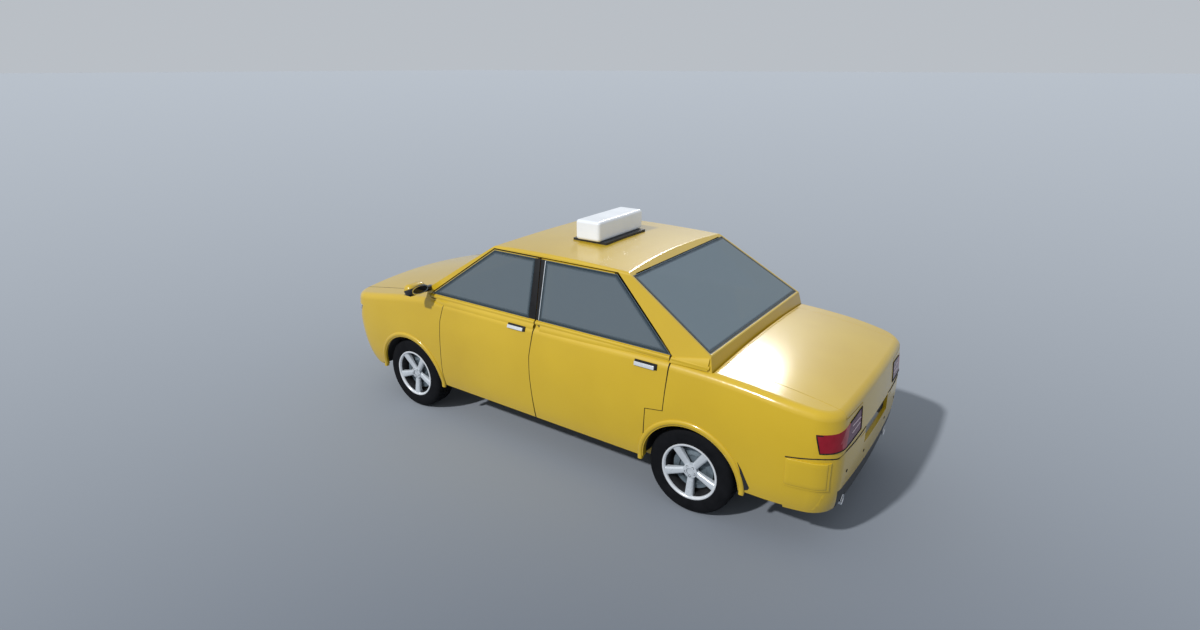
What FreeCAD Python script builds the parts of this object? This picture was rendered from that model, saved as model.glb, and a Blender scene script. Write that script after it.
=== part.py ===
import FreeCAD, Part
import math
import os

# Four-door saloon taxi. Millimetres, +X forward, +Y left, +Z up.
# The origin is on the ground, at the middle of the length and the width.

V = FreeCAD.Vector

# ---------------------------------------------------------------- driving sizes
REAR_AXLE_X = -1275.0
WHEELBASE = 2745.0
FRONT_AXLE_X = REAR_AXLE_X + WHEELBASE
FRONT_OVERHANG = 779.0
REAR_OVERHANG = 974.0
NOSE_X = FRONT_AXLE_X + FRONT_OVERHANG
TAIL_X = REAR_AXLE_X - REAR_OVERHANG
HALF_WIDTH = 872.0
TRACK_HALF = 735.0

TYRE_R = 317.0
RIM_R = 208.0
ARCH_GAP = 41.0
ARCH_R = TYRE_R + ARCH_GAP
ARCH_LIP = 24.0
LIP_PROUD = 5.0

GAP = 6.0
SASH_GAP = 10.0
DOOR_T = 110.0
PANEL_T = 35.0
WING_T = 15.0
LID_T = 25.0
GLASS_T = 5.0
GLASS_SET = 4.0
BUMPER_T = 60.0
SHOULDER_R = 60.0
ROOF_EDGE_R = 24.0
EDGE_SKEW = 0.14

FLOOR_Z = 262.0
FLOOR_T = 25.0
TUNNEL_HALF = 130.0
TUNNEL_Z = 340.0
CUSHION_Z = (380.0, 500.0)
SEAT_TOP_Z = 980.0
HEADREST_TOP_Z = 1150.0
BOOT_FLOOR_Z = 380.0
SILL_Y = 698.0
KICK_X = -950.0
BULKHEAD_X = 1160.0
BULKHEAD_T = 15.0

# lower body by height: height, then how far the side, the nose and the tail lie inside the widest
BODY_ROWS = [
    (300, 50, 109, 31),
    (420, 24, 44, 9),
    (580, 6, 13, 0),
    (780, 0, 0, 6),
    (950, 12, 11, 20),
    (1180, 40, 74, 77),
]
BODY = [(z, HALF_WIDTH - side, NOSE_X - nose, TAIL_X + tail) for z, side, nose, tail in BODY_ROWS]

# plan corners: radius and turn of the flank, radius and turn of the corner
NOSE_CORNER = (3000.0, 4.0, 185.0, 80.0)
TAIL_CORNER = (1200.0, 14.0, 195.0, 72.0)

# top of the lower body by station: x, height at the middle, drop at the edge
TOP_EDGE_Y = 850.0
TOP = [
    (TAIL_X - 201, 955, 30),
    (TAIL_X + 54, 1006, 28),
    (-1705, 1082, 26),
    (-1400, 1106, 28),
    (-400, 1112, 34),
    (1000, 1120, 44),
    (1250, 1118, 50),
    (NOSE_X - 449, 1062, 62),
    (NOSE_X - 49, 1000, 62),
    (NOSE_X + 201, 940, 62),
]

# roof by station: x, height at the middle, drop at the edge
ROOF_EDGE_Y = 700.0
ROOF = [
    (-900, 1594, 20),
    (-742, 1604, 20),
    (-90, 1626, 22),
    (549, 1612, 20),
    (700, 1602, 20),
]

# greenhouse planes in side view: rear window line, windscreen line, rear ledge line
REAR_TOP = (-732.0, 1560.0)
REAR_FOOT = (-1372.0, 1177.0)
LEDGE_FOOT = (-1412.0, 1000.0)
SCREEN_TOP = (560.0, 1578.0)
SCREEN_FOOT = (1215.0, 1160.0)
COWL_FOOT = (1250.0, 1000.0)
SIDE_Y_LOW = 815.0
SIDE_Z_LOW = 1090.0
SIDE_Y_TOP = 700.0
SIDE_Z_TOP = 1578.0
SIDE_LEAN = (SIDE_Y_LOW - SIDE_Y_TOP) / (SIDE_Z_TOP - SIDE_Z_LOW)

# belt rail under the side windows, in cross-section: y, z
RAIL = [(790, 1124), (818, 1118), (826, 1110), (826, 1098), (818, 1092), (780, 1090)]
RAIL_X = (-1376.0, 1205.0)

# doors in side view: x, z, clockwise from the rear foot
SIDE_BOTTOM_Z = 318.0
DOOR_FOOT_Z = SIDE_BOTTOM_Z
DOOR_TOP_Z = 1568.0
FRONT_DOOR = [
    (64, DOOR_FOOT_Z), (66, 400), (82, 700), (82, 846), (48, 1063), (50, 1090), (72, DOOR_TOP_Z),
    (531, DOOR_TOP_Z), (1164, 1124), (1164, 1087), (1000, 1087), (1000, 1057), (1036, 921),
    (1050, 663), (1070, 444), (1062, DOOR_FOOT_Z),
]
REAR_DOOR = [
    (58, DOOR_FOOT_Z), (60, 400), (76, 700), (76, 846), (42, 1063), (44, 1090), (62, DOOR_TOP_Z),
    (-603, DOOR_TOP_Z), (-1096, 1120), (-1101, 1087), (-1076, 744), (-941, 724), (-925, 495),
    (-880, 340), (-880, DOOR_FOOT_Z),
]
PANE_TOP_Z = 1557.0
FRONT_PANE = [(112, 1124), (112, PANE_TOP_Z), (523, PANE_TOP_Z), (1138, 1124)]
REAR_PANE = [(26, 1124), (26, PANE_TOP_Z), (-605, PANE_TOP_Z), (-1076, 1124)]
DOOR_HINGE_Y = 872.0
LATCH_Z = 680.0
PILLAR_SET = DOOR_T + 16.0
PILLAR_IN = 60.0
FRAME_IN = 90.0
GLASS_EDGE = 15.0
ROOF_SEAM_Z = 1574.0

# outer limits of the lids and lamps
BONNET_X = 1246.0
BONNET_Y = 690.0
BONNET_LIP_Z = 900.0
BOOT_X = -1424.0
BOOT_Y = 672.0
BOOT_REAR_Y = 386.0
BOOT_SILL_Z = 702.0
LAMP_TOP_Z = 938.0
BUMPER_TOP_Z = 690.0
REAR_BUMPER_X = REAR_AXLE_X - 650.0
FRONT_BUMPER_X = FRONT_AXLE_X + 435.0
FRONT_BUMPER_TOP_Z = 640.0
VALANCE_TOP_Z = 455.0
VALANCE_Y = 780.0

# rear lamp in rear view (y, z) and its outer end in side view (x, z)
REAR_LAMP = [(404, 765), (600, 752), (900, 748), (900, 872), (740, 874), (610, 896), (398, 921)]
REAR_LAMP_END = [
    (TAIL_X - 51, 700), (TAIL_X + 136, 700), (TAIL_X + 136, 746), (TAIL_X + 167, 872), (TAIL_X + 167, 990),
    (TAIL_X - 51, 990),
]
HEAD_LAMP = [(400, 846), (390, 712), (620, 700), (900, 716), (900, 856), (660, 862)]
HEAD_LAMP_END = [
    (NOSE_X + 101, 650), (NOSE_X - 129, 650), (NOSE_X - 129, 720), (NOSE_X - 189, 850), (NOSE_X - 189, 950),
    (NOSE_X + 101, 950),
]
GRILLE_Y = 376.0
GRILLE_Z = (668.0, 862.0)

ARM_Z = (TYRE_R - 129.0, TYRE_R - 105.0)
KINGPIN_Y = 705.0
KINGPIN_R = 12.0
SPINDLE_R = 20.0
RUNNING = 0.05
HUB_Y = (740.0, 800.0)
SEAT_GAP = 0.3

STEER_X = 800.0
STEER_Y = 360.0
STEER_Z = 905.0
STEER_TILT = 24.0
STEER_R = 182.0
STEER_SHAFT_R = 11.0

MIRROR_X = (1158.0, 1270.0)
MIRROR_Y = (846.0, 1036.0)
MIRROR_Z = (1136.0, 1240.0)
MIRROR_ROUND = 36.0

SIGN_X = (-178.0, 44.0)
SIGN_HALF = 312.0
SIGN_Z = (1640.0, 1795.0)
SIGN_BASE_X = (-222.0, 88.0)
SIGN_BASE_HALF = 280.0

PLATE_HALF = 285.0
PLATE_Z = (612.0, 732.0)
PLATE_DEEP = 28.0
TIP_R = 32.0
TIP_Y = 530.0
TIP_Z = 306.0
PIPE_R = 26.0
BEAM_R = 38.0
PIPE_GAP = 13.0
PIPE_Z = TYRE_R - BEAM_R - PIPE_GAP - PIPE_R
PIPE_FRONT_X = 850.0
MUFFLER_X = (TAIL_X + 189.0, TAIL_X + 409.0)
MUFFLER_TOP_Z = 345.0
TOW_R = 9.0
TOW_SEAT_R = 16.0
TOW_FACE = (NOSE_X - 57.0, -400.0, 470.0)
TOW_DEEP = 45.0

BIG = 3000.0


# ---------------------------------------------------------------- helpers
def wire(points):
    """Closed straight-sided wire through 3-D points."""
    return Part.makePolygon([V(*p) for p in points] + [V(*points[0])])


def prism_y(outline, y0, y1, skew=0.0):
    """Side-view outline (x, z) carried from y0 to y1, drifting skew in x for each mm of y."""
    face = Part.Face(wire([(x, y0, z) for x, z in outline]))
    return face.extrude(V(skew * (y1 - y0), y1 - y0, 0))


def prism_x(outline, x0, x1):
    """Rear-view outline (y, z) carried from x0 to x1."""
    return Part.Face(wire([(x0, y, z) for y, z in outline])).extrude(V(x1 - x0, 0, 0))


def box(x0, x1, y0, y1, z0, z1):
    return Part.makeBox(x1 - x0, y1 - y0, z1 - z0, V(x0, y0, z0))


def rod(x, z, y0, y1, r):
    """Cylinder along Y."""
    return Part.makeCylinder(r, y1 - y0, V(x, y0, z), V(0, 1, 0))


def mirrored(shape):
    return shape.mirror(V(0, 0, 0), V(0, 1, 0))


def joined(shapes):
    first, rest = shapes[0], shapes[1:]
    return first.fuse(rest).removeSplitter() if rest else first


def both_sides(shape):
    return Part.makeCompound([shape, mirrored(shape)])


def grown(outline, by):
    """Closed side-view outline moved outward by a distance, corners kept sharp."""
    face = Part.Face(wire([(x, 0, z) for x, z in outline]))
    flat = face.makeOffset2D(by, 2, False, False, False)
    return flat


def prism_grown(outline, by, y0, y1):
    face = grown(outline, by)
    face.translate(V(0, y0, 0))
    return face.extrude(V(0, y1 - y0, 0))


# ---------------------------------------------------------------- body envelope
def half_plan(width, reach, corner):
    """Plan chain of three tangent arcs from the straight side to the middle of one end."""
    side_r, side_turn, corner_r, corner_turn = corner
    a = math.radians(side_turn)
    b = math.radians(side_turn + corner_turn)
    end_r = (width - side_r * (1 - math.cos(a)) - corner_r * (math.cos(a) - math.cos(b))) / math.cos(b)
    arcs = [(side_r, 0.0, a), (corner_r, a, b), (end_r, b, math.pi / 2)]
    x = reach - sum(r * (math.sin(t1) - math.sin(t0)) for r, t0, t1 in arcs)
    y = width
    chain = []
    for r, t0, t1 in arcs:
        points = []
        for t in (t0, (t0 + t1) / 2, t1):
            points.append((x + r * (math.sin(t) - math.sin(t0)), y - r * (math.cos(t0) - math.cos(t))))
        chain.append(points)
        x, y = points[-1]
    return chain


def plan_wire(height, width, nose, tail):
    front = half_plan(width, nose, NOSE_CORNER)
    rear = half_plan(width, -tail, TAIL_CORNER)

    def arc(points, sx, sy):
        return Part.Arc(*[V(sx * x, sy * y, height) for x, y in points]).toShape()

    edges = [arc(p, 1, 1) for p in front]
    edges += [arc(p, 1, -1) for p in reversed(front)]
    edges += [arc(p, -1, -1) for p in rear]
    edges += [arc(p, -1, 1) for p in reversed(rear)]
    for side in (1, -1):
        fx, fy = front[0][0]
        rx, ry = rear[0][0]
        edges.append(Part.LineSegment(V(fx, side * fy, height), V(-rx, side * ry, height)).toShape())
    return Part.Wire(Part.__sortEdges__(edges))


def side_loft(inset):
    wires = [plan_wire(z, w - inset, nose - inset, tail + inset) for z, w, nose, tail in BODY]
    return Part.makeLoft(wires, True, False)


def crown_cut(stations, edge_y, drop):
    """Everything above a crowned surface through cross-section arcs."""
    wires = []
    for x, middle, fall in stations:
        half = edge_y * 1.5
        low = middle - drop - fall * 2.25
        arc = Part.Arc(V(x, half, low), V(x, 0, middle - drop), V(x, -half, low)).toShape()
        up = [V(x, -half, low), V(x, -half, 2100), V(x, half, 2100), V(x, half, low)]
        lines = [Part.LineSegment(p, q).toShape() for p, q in zip(up, up[1:])]
        wires.append(Part.Wire([arc] + lines))
    return Part.makeLoft(wires, True, False)


def top_edges(shape):
    """Edges round the one large face that looks up."""
    def level(face):
        u0, u1, v0, v1 = face.ParameterRange
        return face.normalAt((u0 + u1) / 2, (v0 + v1) / 2).z
    lid = max((f for f in shape.Faces if level(f) > 0.8), key=lambda f: f.Area)
    return lid.Edges


def lower_body(inset):
    shape = side_loft(inset).cut(crown_cut(TOP, TOP_EDGE_Y, inset))
    if inset == 0:
        shape = shape.makeFillet(SHOULDER_R, top_edges(shape))
    return shape


def shifted(p, q, inset, side):
    """Line p-q moved inward by inset; side is +1 when the inside is at larger x."""
    length = math.hypot(q[0] - p[0], q[1] - p[1])
    shift = side * inset * length / abs(q[1] - p[1])
    return (p[0] + shift, p[1]), (q[0] + shift, q[1])


def line_at(p, q, z):
    return p[0] + (q[0] - p[0]) * (z - p[1]) / (q[1] - p[1])


def crossing(a, b, c, d):
    """Point where line a-b meets line c-d, in side view."""
    z = a[1]
    for _ in range(60):
        x = line_at(a, b, z)
        z = c[1] + (d[1] - c[1]) * (x - c[0]) / (d[0] - c[0])
    return (line_at(a, b, z), z)


def greenhouse(inset, foot_z=1000.0):
    """Cabin above the belt: four leaning planes under the crowned roof."""
    rear_top, rear_foot = shifted(REAR_TOP, REAR_FOOT, inset, 1)
    ledge_top, ledge_foot = shifted(REAR_FOOT, LEDGE_FOOT, inset, 1)
    screen_top, screen_foot = shifted(SCREEN_TOP, SCREEN_FOOT, inset, -1)
    cowl_top, cowl_foot = shifted(SCREEN_FOOT, COWL_FOOT, inset, -1)
    rear_knee = crossing(ledge_top, ledge_foot, rear_top, rear_foot)
    screen_knee = crossing(cowl_top, cowl_foot, screen_top, screen_foot)
    top_z = 1700.0
    outline = [
        (line_at(ledge_top, ledge_foot, foot_z), foot_z), rear_knee,
        (line_at(rear_top, rear_foot, top_z), top_z), (line_at(screen_top, screen_foot, top_z), top_z),
        screen_knee, (line_at(cowl_top, cowl_foot, foot_z), foot_z),
    ]
    side = prism_y(outline, -1000, 1000)
    spread = inset * math.hypot(1, SIDE_LEAN)
    y_foot = SIDE_Y_LOW + SIDE_LEAN * (SIDE_Z_LOW - foot_z) - spread
    y_top = SIDE_Y_TOP - SIDE_LEAN * (top_z - SIDE_Z_TOP) - spread
    ends = prism_x([(y_foot, foot_z), (y_top, top_z), (-y_top, top_z), (-y_foot, foot_z)], -1900, 1900)
    shape = side.common(ends).cut(crown_cut(ROOF, ROOF_EDGE_Y, inset))
    if inset == 0:
        shape = shape.makeFillet(ROOF_EDGE_R, top_edges(shape))
    return shape


LOWER = lower_body(0)
UPPER = greenhouse(0)
LOWER_IN = {t: lower_body(t) for t in (WING_T, LID_T, PANEL_T, BUMPER_T)}
LOWER_SEAT = {t: lower_body(t + SEAT_GAP) for t in (WING_T, LID_T, BUMPER_T)}
SIDE_IN = {t: side_loft(t) for t in (WING_T, PANEL_T, DOOR_T, PILLAR_SET)}
SIDE_SEAT = {t: side_loft(t + SEAT_GAP) for t in (WING_T, PANEL_T, DOOR_T)}
UPPER_IN = {t: greenhouse(t) for t in (GLASS_SET, GLASS_SET + GLASS_T, PANEL_T, PANEL_T + SASH_GAP, FRAME_IN)}


def core(inset):
    """Wedge between the two side planes, each moved inward."""
    spread = inset * math.hypot(1, SIDE_LEAN)
    y_foot = SIDE_Y_LOW + SIDE_LEAN * (SIDE_Z_LOW - 900) - spread
    y_top = SIDE_Y_TOP - SIDE_LEAN * (1700 - SIDE_Z_TOP) - spread
    return prism_x([(y_foot, 900), (y_top, 1700), (-y_top, 1700), (-y_foot, 900)], -1900, 1900)


# ---------------------------------------------------------------- cutting shapes
WHEEL_X = {"front": FRONT_AXLE_X, "rear": REAR_AXLE_X}
LINER_Y = {"front": 458.0, "rear": 600.0}
LINER_T = 8.0
LINER_R = ARCH_R + 4.0
LIP_R = ARCH_R + ARCH_LIP


def arch_cut(end, radius):
    """Round space over one left wheel."""
    return rod(WHEEL_X[end], TYRE_R, LINER_Y[end], 1000, radius)


def half(x0, x1, z0, z1):
    """Box over the left half of the car."""
    return box(x0, x1, 0, BIG, z0, z1)


BELT_Z = 1090.0
RAIL_BAR = prism_x(RAIL, RAIL_X[0], RAIL_X[1])
ARCHES = {end: arch_cut(end, ARCH_R) for end in WHEEL_X}
APERTURES = prism_grown(FRONT_DOOR, GAP, 0, 1000).fuse([
    prism_grown(REAR_DOOR, GAP, 0, 1000),
    prism_grown(FRONT_DOOR, SASH_GAP, 0, 1000).common(half(-BIG, BIG, 1140, BIG)),
    prism_grown(REAR_DOOR, SASH_GAP, 0, 1000).common(half(-BIG, BIG, 1140, BIG)),
])


def lid_spaces(by):
    """Boot lid and bonnet spaces, grown by the gap for the cut in the fixed body."""
    deck = box(-BIG, BOOT_X + by, -BOOT_Y - by, BOOT_Y + by, LAMP_TOP_Z + GAP - by, 1300)
    face = box(-BIG, TAIL_X + 249, -BOOT_REAR_Y - by, BOOT_REAR_Y + by, BOOT_SILL_Z - by, LAMP_TOP_Z + 2 * GAP)
    bonnet = box(BONNET_X - by, BIG, -BONNET_Y - by, BONNET_Y + by, BONNET_LIP_Z - by, 1300)
    return deck.fuse(face), bonnet


BOOT_SPACE, BONNET_SPACE = lid_spaces(GAP)


def lamp_space(face, end):
    return prism_x(face, -BIG, BIG).common(prism_y(end, 0, 1000))


REAR_LAMP_SPACE = lamp_space(REAR_LAMP, REAR_LAMP_END)
HEAD_LAMP_SPACE = lamp_space(HEAD_LAMP, HEAD_LAMP_END)
REAR_BUMPER_SPACE = box(-BIG, REAR_BUMPER_X, -BIG, BIG, 0, BUMPER_TOP_Z)
FRONT_BUMPER_SPACE = box(FRONT_BUMPER_X, BIG, -BIG, BIG, 0, FRONT_BUMPER_TOP_Z)
PLATE_SPACE = box(-BIG, TAIL_X + PLATE_DEEP, -PLATE_HALF, PLATE_HALF, PLATE_Z[0], PLATE_Z[1])
GRILLE_SPACE = box(NOSE_X - 249, BIG, -GRILLE_Y, GRILLE_Y, GRILLE_Z[0], GRILLE_Z[1])
VALANCE_SPACE = box(-BIG, TAIL_X + 159, -VALANCE_Y, VALANCE_Y, 0, VALANCE_TOP_Z)


# ---------------------------------------------------------------- doors
def door(outline, opening, far_end=None):
    """Left door: thick below the belt, with a slim sash round the glass above it."""
    slanted = prism_y(outline, DOOR_HINGE_Y, 500, -EDGE_SKEW).fuse(prism_y(outline, DOOR_HINGE_Y, 1000))
    cutter = prism_y(outline, 500, 1000).common(slanted)
    lower = LOWER.cut(SIDE_IN[DOOR_T]).common(half(-BIG, BIG, 0, BELT_Z))
    upper = UPPER.cut(core(PANEL_T)).common(half(-BIG, BIG, BELT_Z - 30, BIG))
    shape = lower.fuse([upper, RAIL_BAR]).common(cutter)
    if far_end:
        shape = shape.cut(arch_cut(far_end, LIP_R + GAP))
    shape = shape.cut(prism_y(opening, 500, 1000))
    return max(shape.Solids, key=lambda s: s.Volume)


def pane(outline):
    """Flat glass set a little below the outer face, edge to edge with its sash."""
    layer = UPPER_IN[GLASS_SET].cut(UPPER_IN[GLASS_SET + GLASS_T])
    return layer.common(prism_y(outline, 500, 1000))


# ---------------------------------------------------------------- fixed body
def end_glass(x0, x1, z0):
    layer = UPPER_IN[GLASS_SET].cut(UPPER_IN[GLASS_SET + GLASS_T])
    return layer.common(core(GLASS_EDGE)).common(box(x0, x1, -BIG, BIG, z0, ROOF_SEAM_Z))


def glass_rebate(x0, x1, z0):
    layer = UPPER.cut(UPPER_IN[GLASS_SET + GLASS_T])
    return layer.common(core(GLASS_EDGE)).common(box(x0, x1, -BIG, BIG, z0, ROOF_SEAM_Z))


SCREEN_AT = (545, 1400, SCREEN_FOOT[1] + 5)
BACKLIGHT_AT = (-1500, -715, REAR_FOOT[1] + 5)


def body_side():
    """Left pillars, roof frame, quarter panel, wheelhouse, sill and posts in one pressing."""
    quarter = LOWER.cut(SIDE_IN[PANEL_T]).common(half(-BIG, -500, 0, BELT_Z))
    deck_edge = LOWER.cut(LOWER_IN[PANEL_T]).common(half(-BIG, BOOT_X + 20, 0, BIG))
    wheelhouse = arch_cut("rear", LIP_R).cut(arch_cut("rear", LINER_R + LINER_T + SEAT_GAP)).common(LOWER)
    lip = arch_cut("rear", LIP_R).cut(ARCHES["rear"]).common(PROUD.cut(SIDE_IN[WING_T]))
    rear = quarter.fuse([deck_edge, wheelhouse]).cut(APERTURES).fuse(lip)
    rear = rear.cut([BOOT_SPACE, REAR_LAMP_SPACE, REAR_BUMPER_SPACE, PLATE_SPACE, ARCHES["rear"],
                     half(-BIG, BIG, 0, SIDE_BOTTOM_Z)])
    pillars = UPPER.cut(core(PILLAR_IN)).common(half(-BIG, BIG, BELT_Z - 30, ROOF_SEAM_Z)).cut(APERTURES)
    pillars = pillars.cut([glass_rebate(*SCREEN_AT), glass_rebate(*BACKLIGHT_AT)])
    inner = UPPER_IN[PANEL_T + SASH_GAP].cut(core(FRAME_IN))
    roof_rail = inner.common(half(-760, 570, ROOF_SEAM_Z - 26, ROOF_SEAM_Z))
    middle = inner.common(half(-8, 118, 1096, ROOF_SEAM_Z - 10))
    saddle = UPPER_IN[PANEL_T + SASH_GAP].common(box(-8, 118, SILL_Y - 40, BIG, 1096, 1140))
    post = SIDE_IN[PILLAR_SET].common(box(-8, 118, SILL_Y - 40, BIG, FLOOR_Z, 1100))
    hinge_post = SIDE_IN[PILLAR_SET].common(box(1086, 1148, SILL_Y - 50, BIG, FLOOR_Z, 1070))
    shelf = LOWER_SEAT[WING_T].common(box(1086, 1238, SILL_Y, BIG, 1028, 1078))
    sill = box(KICK_X, 1148, SILL_Y - 70, SILL_Y, FLOOR_Z, 325)
    front_latch = SIDE_SEAT[DOOR_T].common(box(100, 118, SILL_Y, BIG, LATCH_Z - 20, LATCH_Z + 20))
    bracket = SIDE_IN[WING_T].common(box(-1130, -1090, SILL_Y + 32, BIG, LATCH_Z + 180, LATCH_Z + 220))
    rear_latch = SIDE_SEAT[DOOR_T].common(box(-1130, -1036, SILL_Y + 32, BIG, LATCH_Z + 180, LATCH_Z + 220))
    clear = LINER_R + LINER_T + SEAT_GAP
    lower = hinge_post.fuse([shelf, sill, post, saddle, front_latch]).cut(
        [arch_cut("front", clear), arch_cut("rear", clear)])
    rail = RAIL_BAR.common(half(-BIG, BIG, 0, BIG)).cut(APERTURES)
    return joined([rear, pillars, roof_rail, middle, lower, rail, bracket, rear_latch])


PROUD = side_loft(-LIP_PROUD).cut(crown_cut(TOP, TOP_EDGE_Y, 0))
DECK_BOX = (-1418.0, -1330.0)


def wing():
    """Left front wing, a single skin with a rolled lip over the wheel."""
    skin = LOWER.cut(LOWER_IN[WING_T]).common(box(950, BIG, BONNET_Y + GAP, BIG, 0, BIG))
    lip = arch_cut("front", LIP_R).cut(ARCHES["front"]).common(PROUD.cut(SIDE_IN[WING_T]))
    shape = skin.fuse(lip).cut([APERTURES, FRONT_BUMPER_SPACE, HEAD_LAMP_SPACE, ARCHES["front"], UPPER,
                                RAIL_BAR, half(-BIG, BIG, 0, SIDE_BOTTOM_Z)])
    return max(shape.Solids, key=lambda s: s.Volume)


def liner(end):
    """Black liner inside one wheel arch: a rolled roof and a flat inner wall."""
    x = WHEEL_X[end]
    outer = arch_cut(end, LINER_R + LINER_T)
    hollow = rod(x, TYRE_R, LINER_Y[end] + LINER_T, 1000, LINER_R)
    shape = outer.cut(hollow).common(box(x - 400, x + 400, 0, BIG, 335, BIG))
    shape = shape.cut(rod(REAR_AXLE_X, TYRE_R, 0, 1000, BEAM_R + 2))
    return shape.common(SIDE_SEAT[WING_T] if end == "front" else SIDE_SEAT[PANEL_T])


def roof():
    shape = UPPER.cut(UPPER_IN[PANEL_T]).common(box(-BIG, BIG, -BIG, BIG, ROOF_SEAM_Z, BIG))
    return shape.cut([APERTURES, mirrored(APERTURES)])


def scuttle():
    """Firewall with the panel under the windscreen."""
    top = UPPER.common(core(PILLAR_IN)).common(box(1149, 1400, -BIG, BIG, 1040, SCREEN_AT[2]))
    top = top.cut([box(1000, 1400, s * 900 - 202, s * 900 + 202, 1000, 1078 + SEAT_GAP) for s in (-1, 1)])
    strip = LOWER.cut(LOWER_IN[PANEL_T]).common(
        box(1149, BONNET_X - GAP, -BONNET_Y, BONNET_Y, 1000, BIG)).cut(UPPER)
    plate = box(BULKHEAD_X, BULKHEAD_X + BULKHEAD_T, -SILL_Y + 50, SILL_Y - 50, FLOOR_Z, 1070)
    ends = box(BULKHEAD_X, BULKHEAD_X + BULKHEAD_T, -SILL_Y, SILL_Y, 1030, 1070)
    shape = joined([top, strip, plate, ends])
    cuts = [arch_cut("front", LINER_R + LINER_T), mirrored(arch_cut("front", LINER_R + LINER_T))]
    return shape.cut(cuts)


def parcel_shelf():
    ledge = UPPER.common(core(PILLAR_IN)).common(box(DECK_BOX[0], DECK_BOX[1], -BIG, BIG, 1030, BACKLIGHT_AT[2]))
    plate = box(DECK_BOX[0], -1120, -690, 690, 1030, 1048)
    return joined([ledge, plate])


def boot_lid():
    space, _ = lid_spaces(0)
    shape = LOWER.cut(LOWER_IN[LID_T]).common(space).cut(PLATE_SPACE)
    return max(shape.Solids, key=lambda s: s.Volume)


def bonnet():
    _, space = lid_spaces(0)
    shape = LOWER.cut(LOWER_IN[LID_T]).common(space)
    return max(shape.Solids, key=lambda s: s.Volume)


def rear_bumper():
    shell = LOWER.cut(LOWER_IN[BUMPER_T]).common(REAR_BUMPER_SPACE)
    shell = shell.cut([VALANCE_SPACE, PLATE_SPACE])
    pads = PROUD.cut(LOWER_IN[PANEL_T]).common(box(TAIL_X + 69, REAR_BUMPER_X - 5, -BIG, BIG, 486, 686))
    return joined([shell, pads])


def valance():
    shape = LOWER.cut(LOWER_IN[BUMPER_T]).common(VALANCE_SPACE)
    return shape.cut([tail_pipe(s, TIP_R + 3) for s in (-1, 1)])


def tail_pipe(side, radius):
    return Part.makeCylinder(radius, 190, V(TAIL_X + 39, side * TIP_Y, TIP_Z), V(1, 0, 0))


def front_bumper():
    """Bumper shell with the threaded hole for a towing eye in a flat seat."""
    shell = LOWER.cut(LOWER_IN[BUMPER_T]).common(FRONT_BUMPER_SPACE)
    x, y, z = TOW_FACE
    seat_cut = Part.makeCylinder(TOW_SEAT_R, BUMPER_T, V(x, y, z), V(1, 0, 0))
    bore = Part.makeCylinder(TOW_R, TOW_DEEP, V(x - TOW_DEEP, y, z), V(1, 0, 0))
    return shell.cut([seat_cut, bore])


def nose_panel():
    zone = box(FRONT_BUMPER_X, BIG, -BONNET_Y - GAP, BONNET_Y + GAP, FRONT_BUMPER_TOP_Z, BONNET_LIP_Z - GAP)
    shape = LOWER.cut(LOWER_IN[PANEL_T]).common(zone)
    return shape.cut([GRILLE_SPACE, HEAD_LAMP_SPACE, mirrored(HEAD_LAMP_SPACE)])


def lamps(space):
    lamp = LOWER.cut(LOWER_IN[BUMPER_T]).common(space)
    return both_sides(max(lamp.Solids, key=lambda s: s.Volume))


def grille():
    return LOWER.cut(LOWER_IN[BUMPER_T]).common(GRILLE_SPACE)


def floor_pan():
    """Cabin floor, kick-up, boot floor and the rear panel under the boot lid."""
    half_w = SILL_Y - 70
    floor = box(KICK_X, BULKHEAD_X, -half_w, half_w, FLOOR_Z, FLOOR_Z + FLOOR_T)
    tunnel = box(KICK_X, BULKHEAD_X, -TUNNEL_HALF, TUNNEL_HALF, FLOOR_Z, TUNNEL_Z)
    duct = box(KICK_X - 20, BULKHEAD_X + 10, 20 - TUNNEL_HALF, TUNNEL_HALF - 20, FLOOR_Z - 10, TUNNEL_Z - 20)
    kick = box(KICK_X - 15, KICK_X, -half_w, half_w, FLOOR_Z, BOOT_FLOOR_Z)
    boot = box(TAIL_X + 49, KICK_X, -585, 585, BOOT_FLOOR_Z, BOOT_FLOOR_Z + 20)
    boot_wide = box(TAIL_X + 49, REAR_AXLE_X - 395, -750, 750, BOOT_FLOOR_Z, BOOT_FLOOR_Z + 20)
    tail = box(TAIL_X - 51, TAIL_X + 99, -720, 720, BOOT_FLOOR_Z, BUMPER_TOP_Z - 10)
    ears = [box(TAIL_X - 51, TAIL_X + 189, s * 590 - 140, s * 590 + 140, BUMPER_TOP_Z - 60, 925) for s in (-1, 1)]
    buffers = [Part.makeCylinder(12, 200, V(TAIL_X + 161, s * 520, 900)).common(LOWER_SEAT[LID_T]) for s in (-1, 1)]
    back = joined([boot, boot_wide, tail] + ears).common(LOWER_SEAT[BUMPER_T])
    back = back.cut(box(TAIL_X + 59, TAIL_X + 149, -440, 440, BOOT_FLOOR_Z + 20, 1000))
    shape = joined([floor.fuse([tunnel, kick]).cut(duct), back] + buffers)
    arches = [arch_cut(end, LINER_R + LINER_T + SEAT_GAP) for end in WHEEL_X]
    return shape.cut(arches + [mirrored(arch) for arch in arches])


def front_frame():
    """Two chassis rails and the crossmember that carries lamps, grille and bumper."""
    rails = [box(BULKHEAD_X + BULKHEAD_T, NOSE_X - 79, s * 410 - 35, s * 410 + 35, 330, 430) for s in (-1, 1)]
    support = box(NOSE_X - 160, NOSE_X + 51, -690, 690, 330, 885)
    window = box(NOSE_X - 180, NOSE_X + 151, -340, 340, 440, 840)
    buffers = [Part.makeCylinder(12, 200, V(NOSE_X - 109, s * 480, 870)).common(LOWER_SEAT[LID_T]) for s in (-1, 1)]
    return joined([joined(rails + [support.cut(window)]).common(LOWER_SEAT[BUMPER_T])] + buffers)


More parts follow.
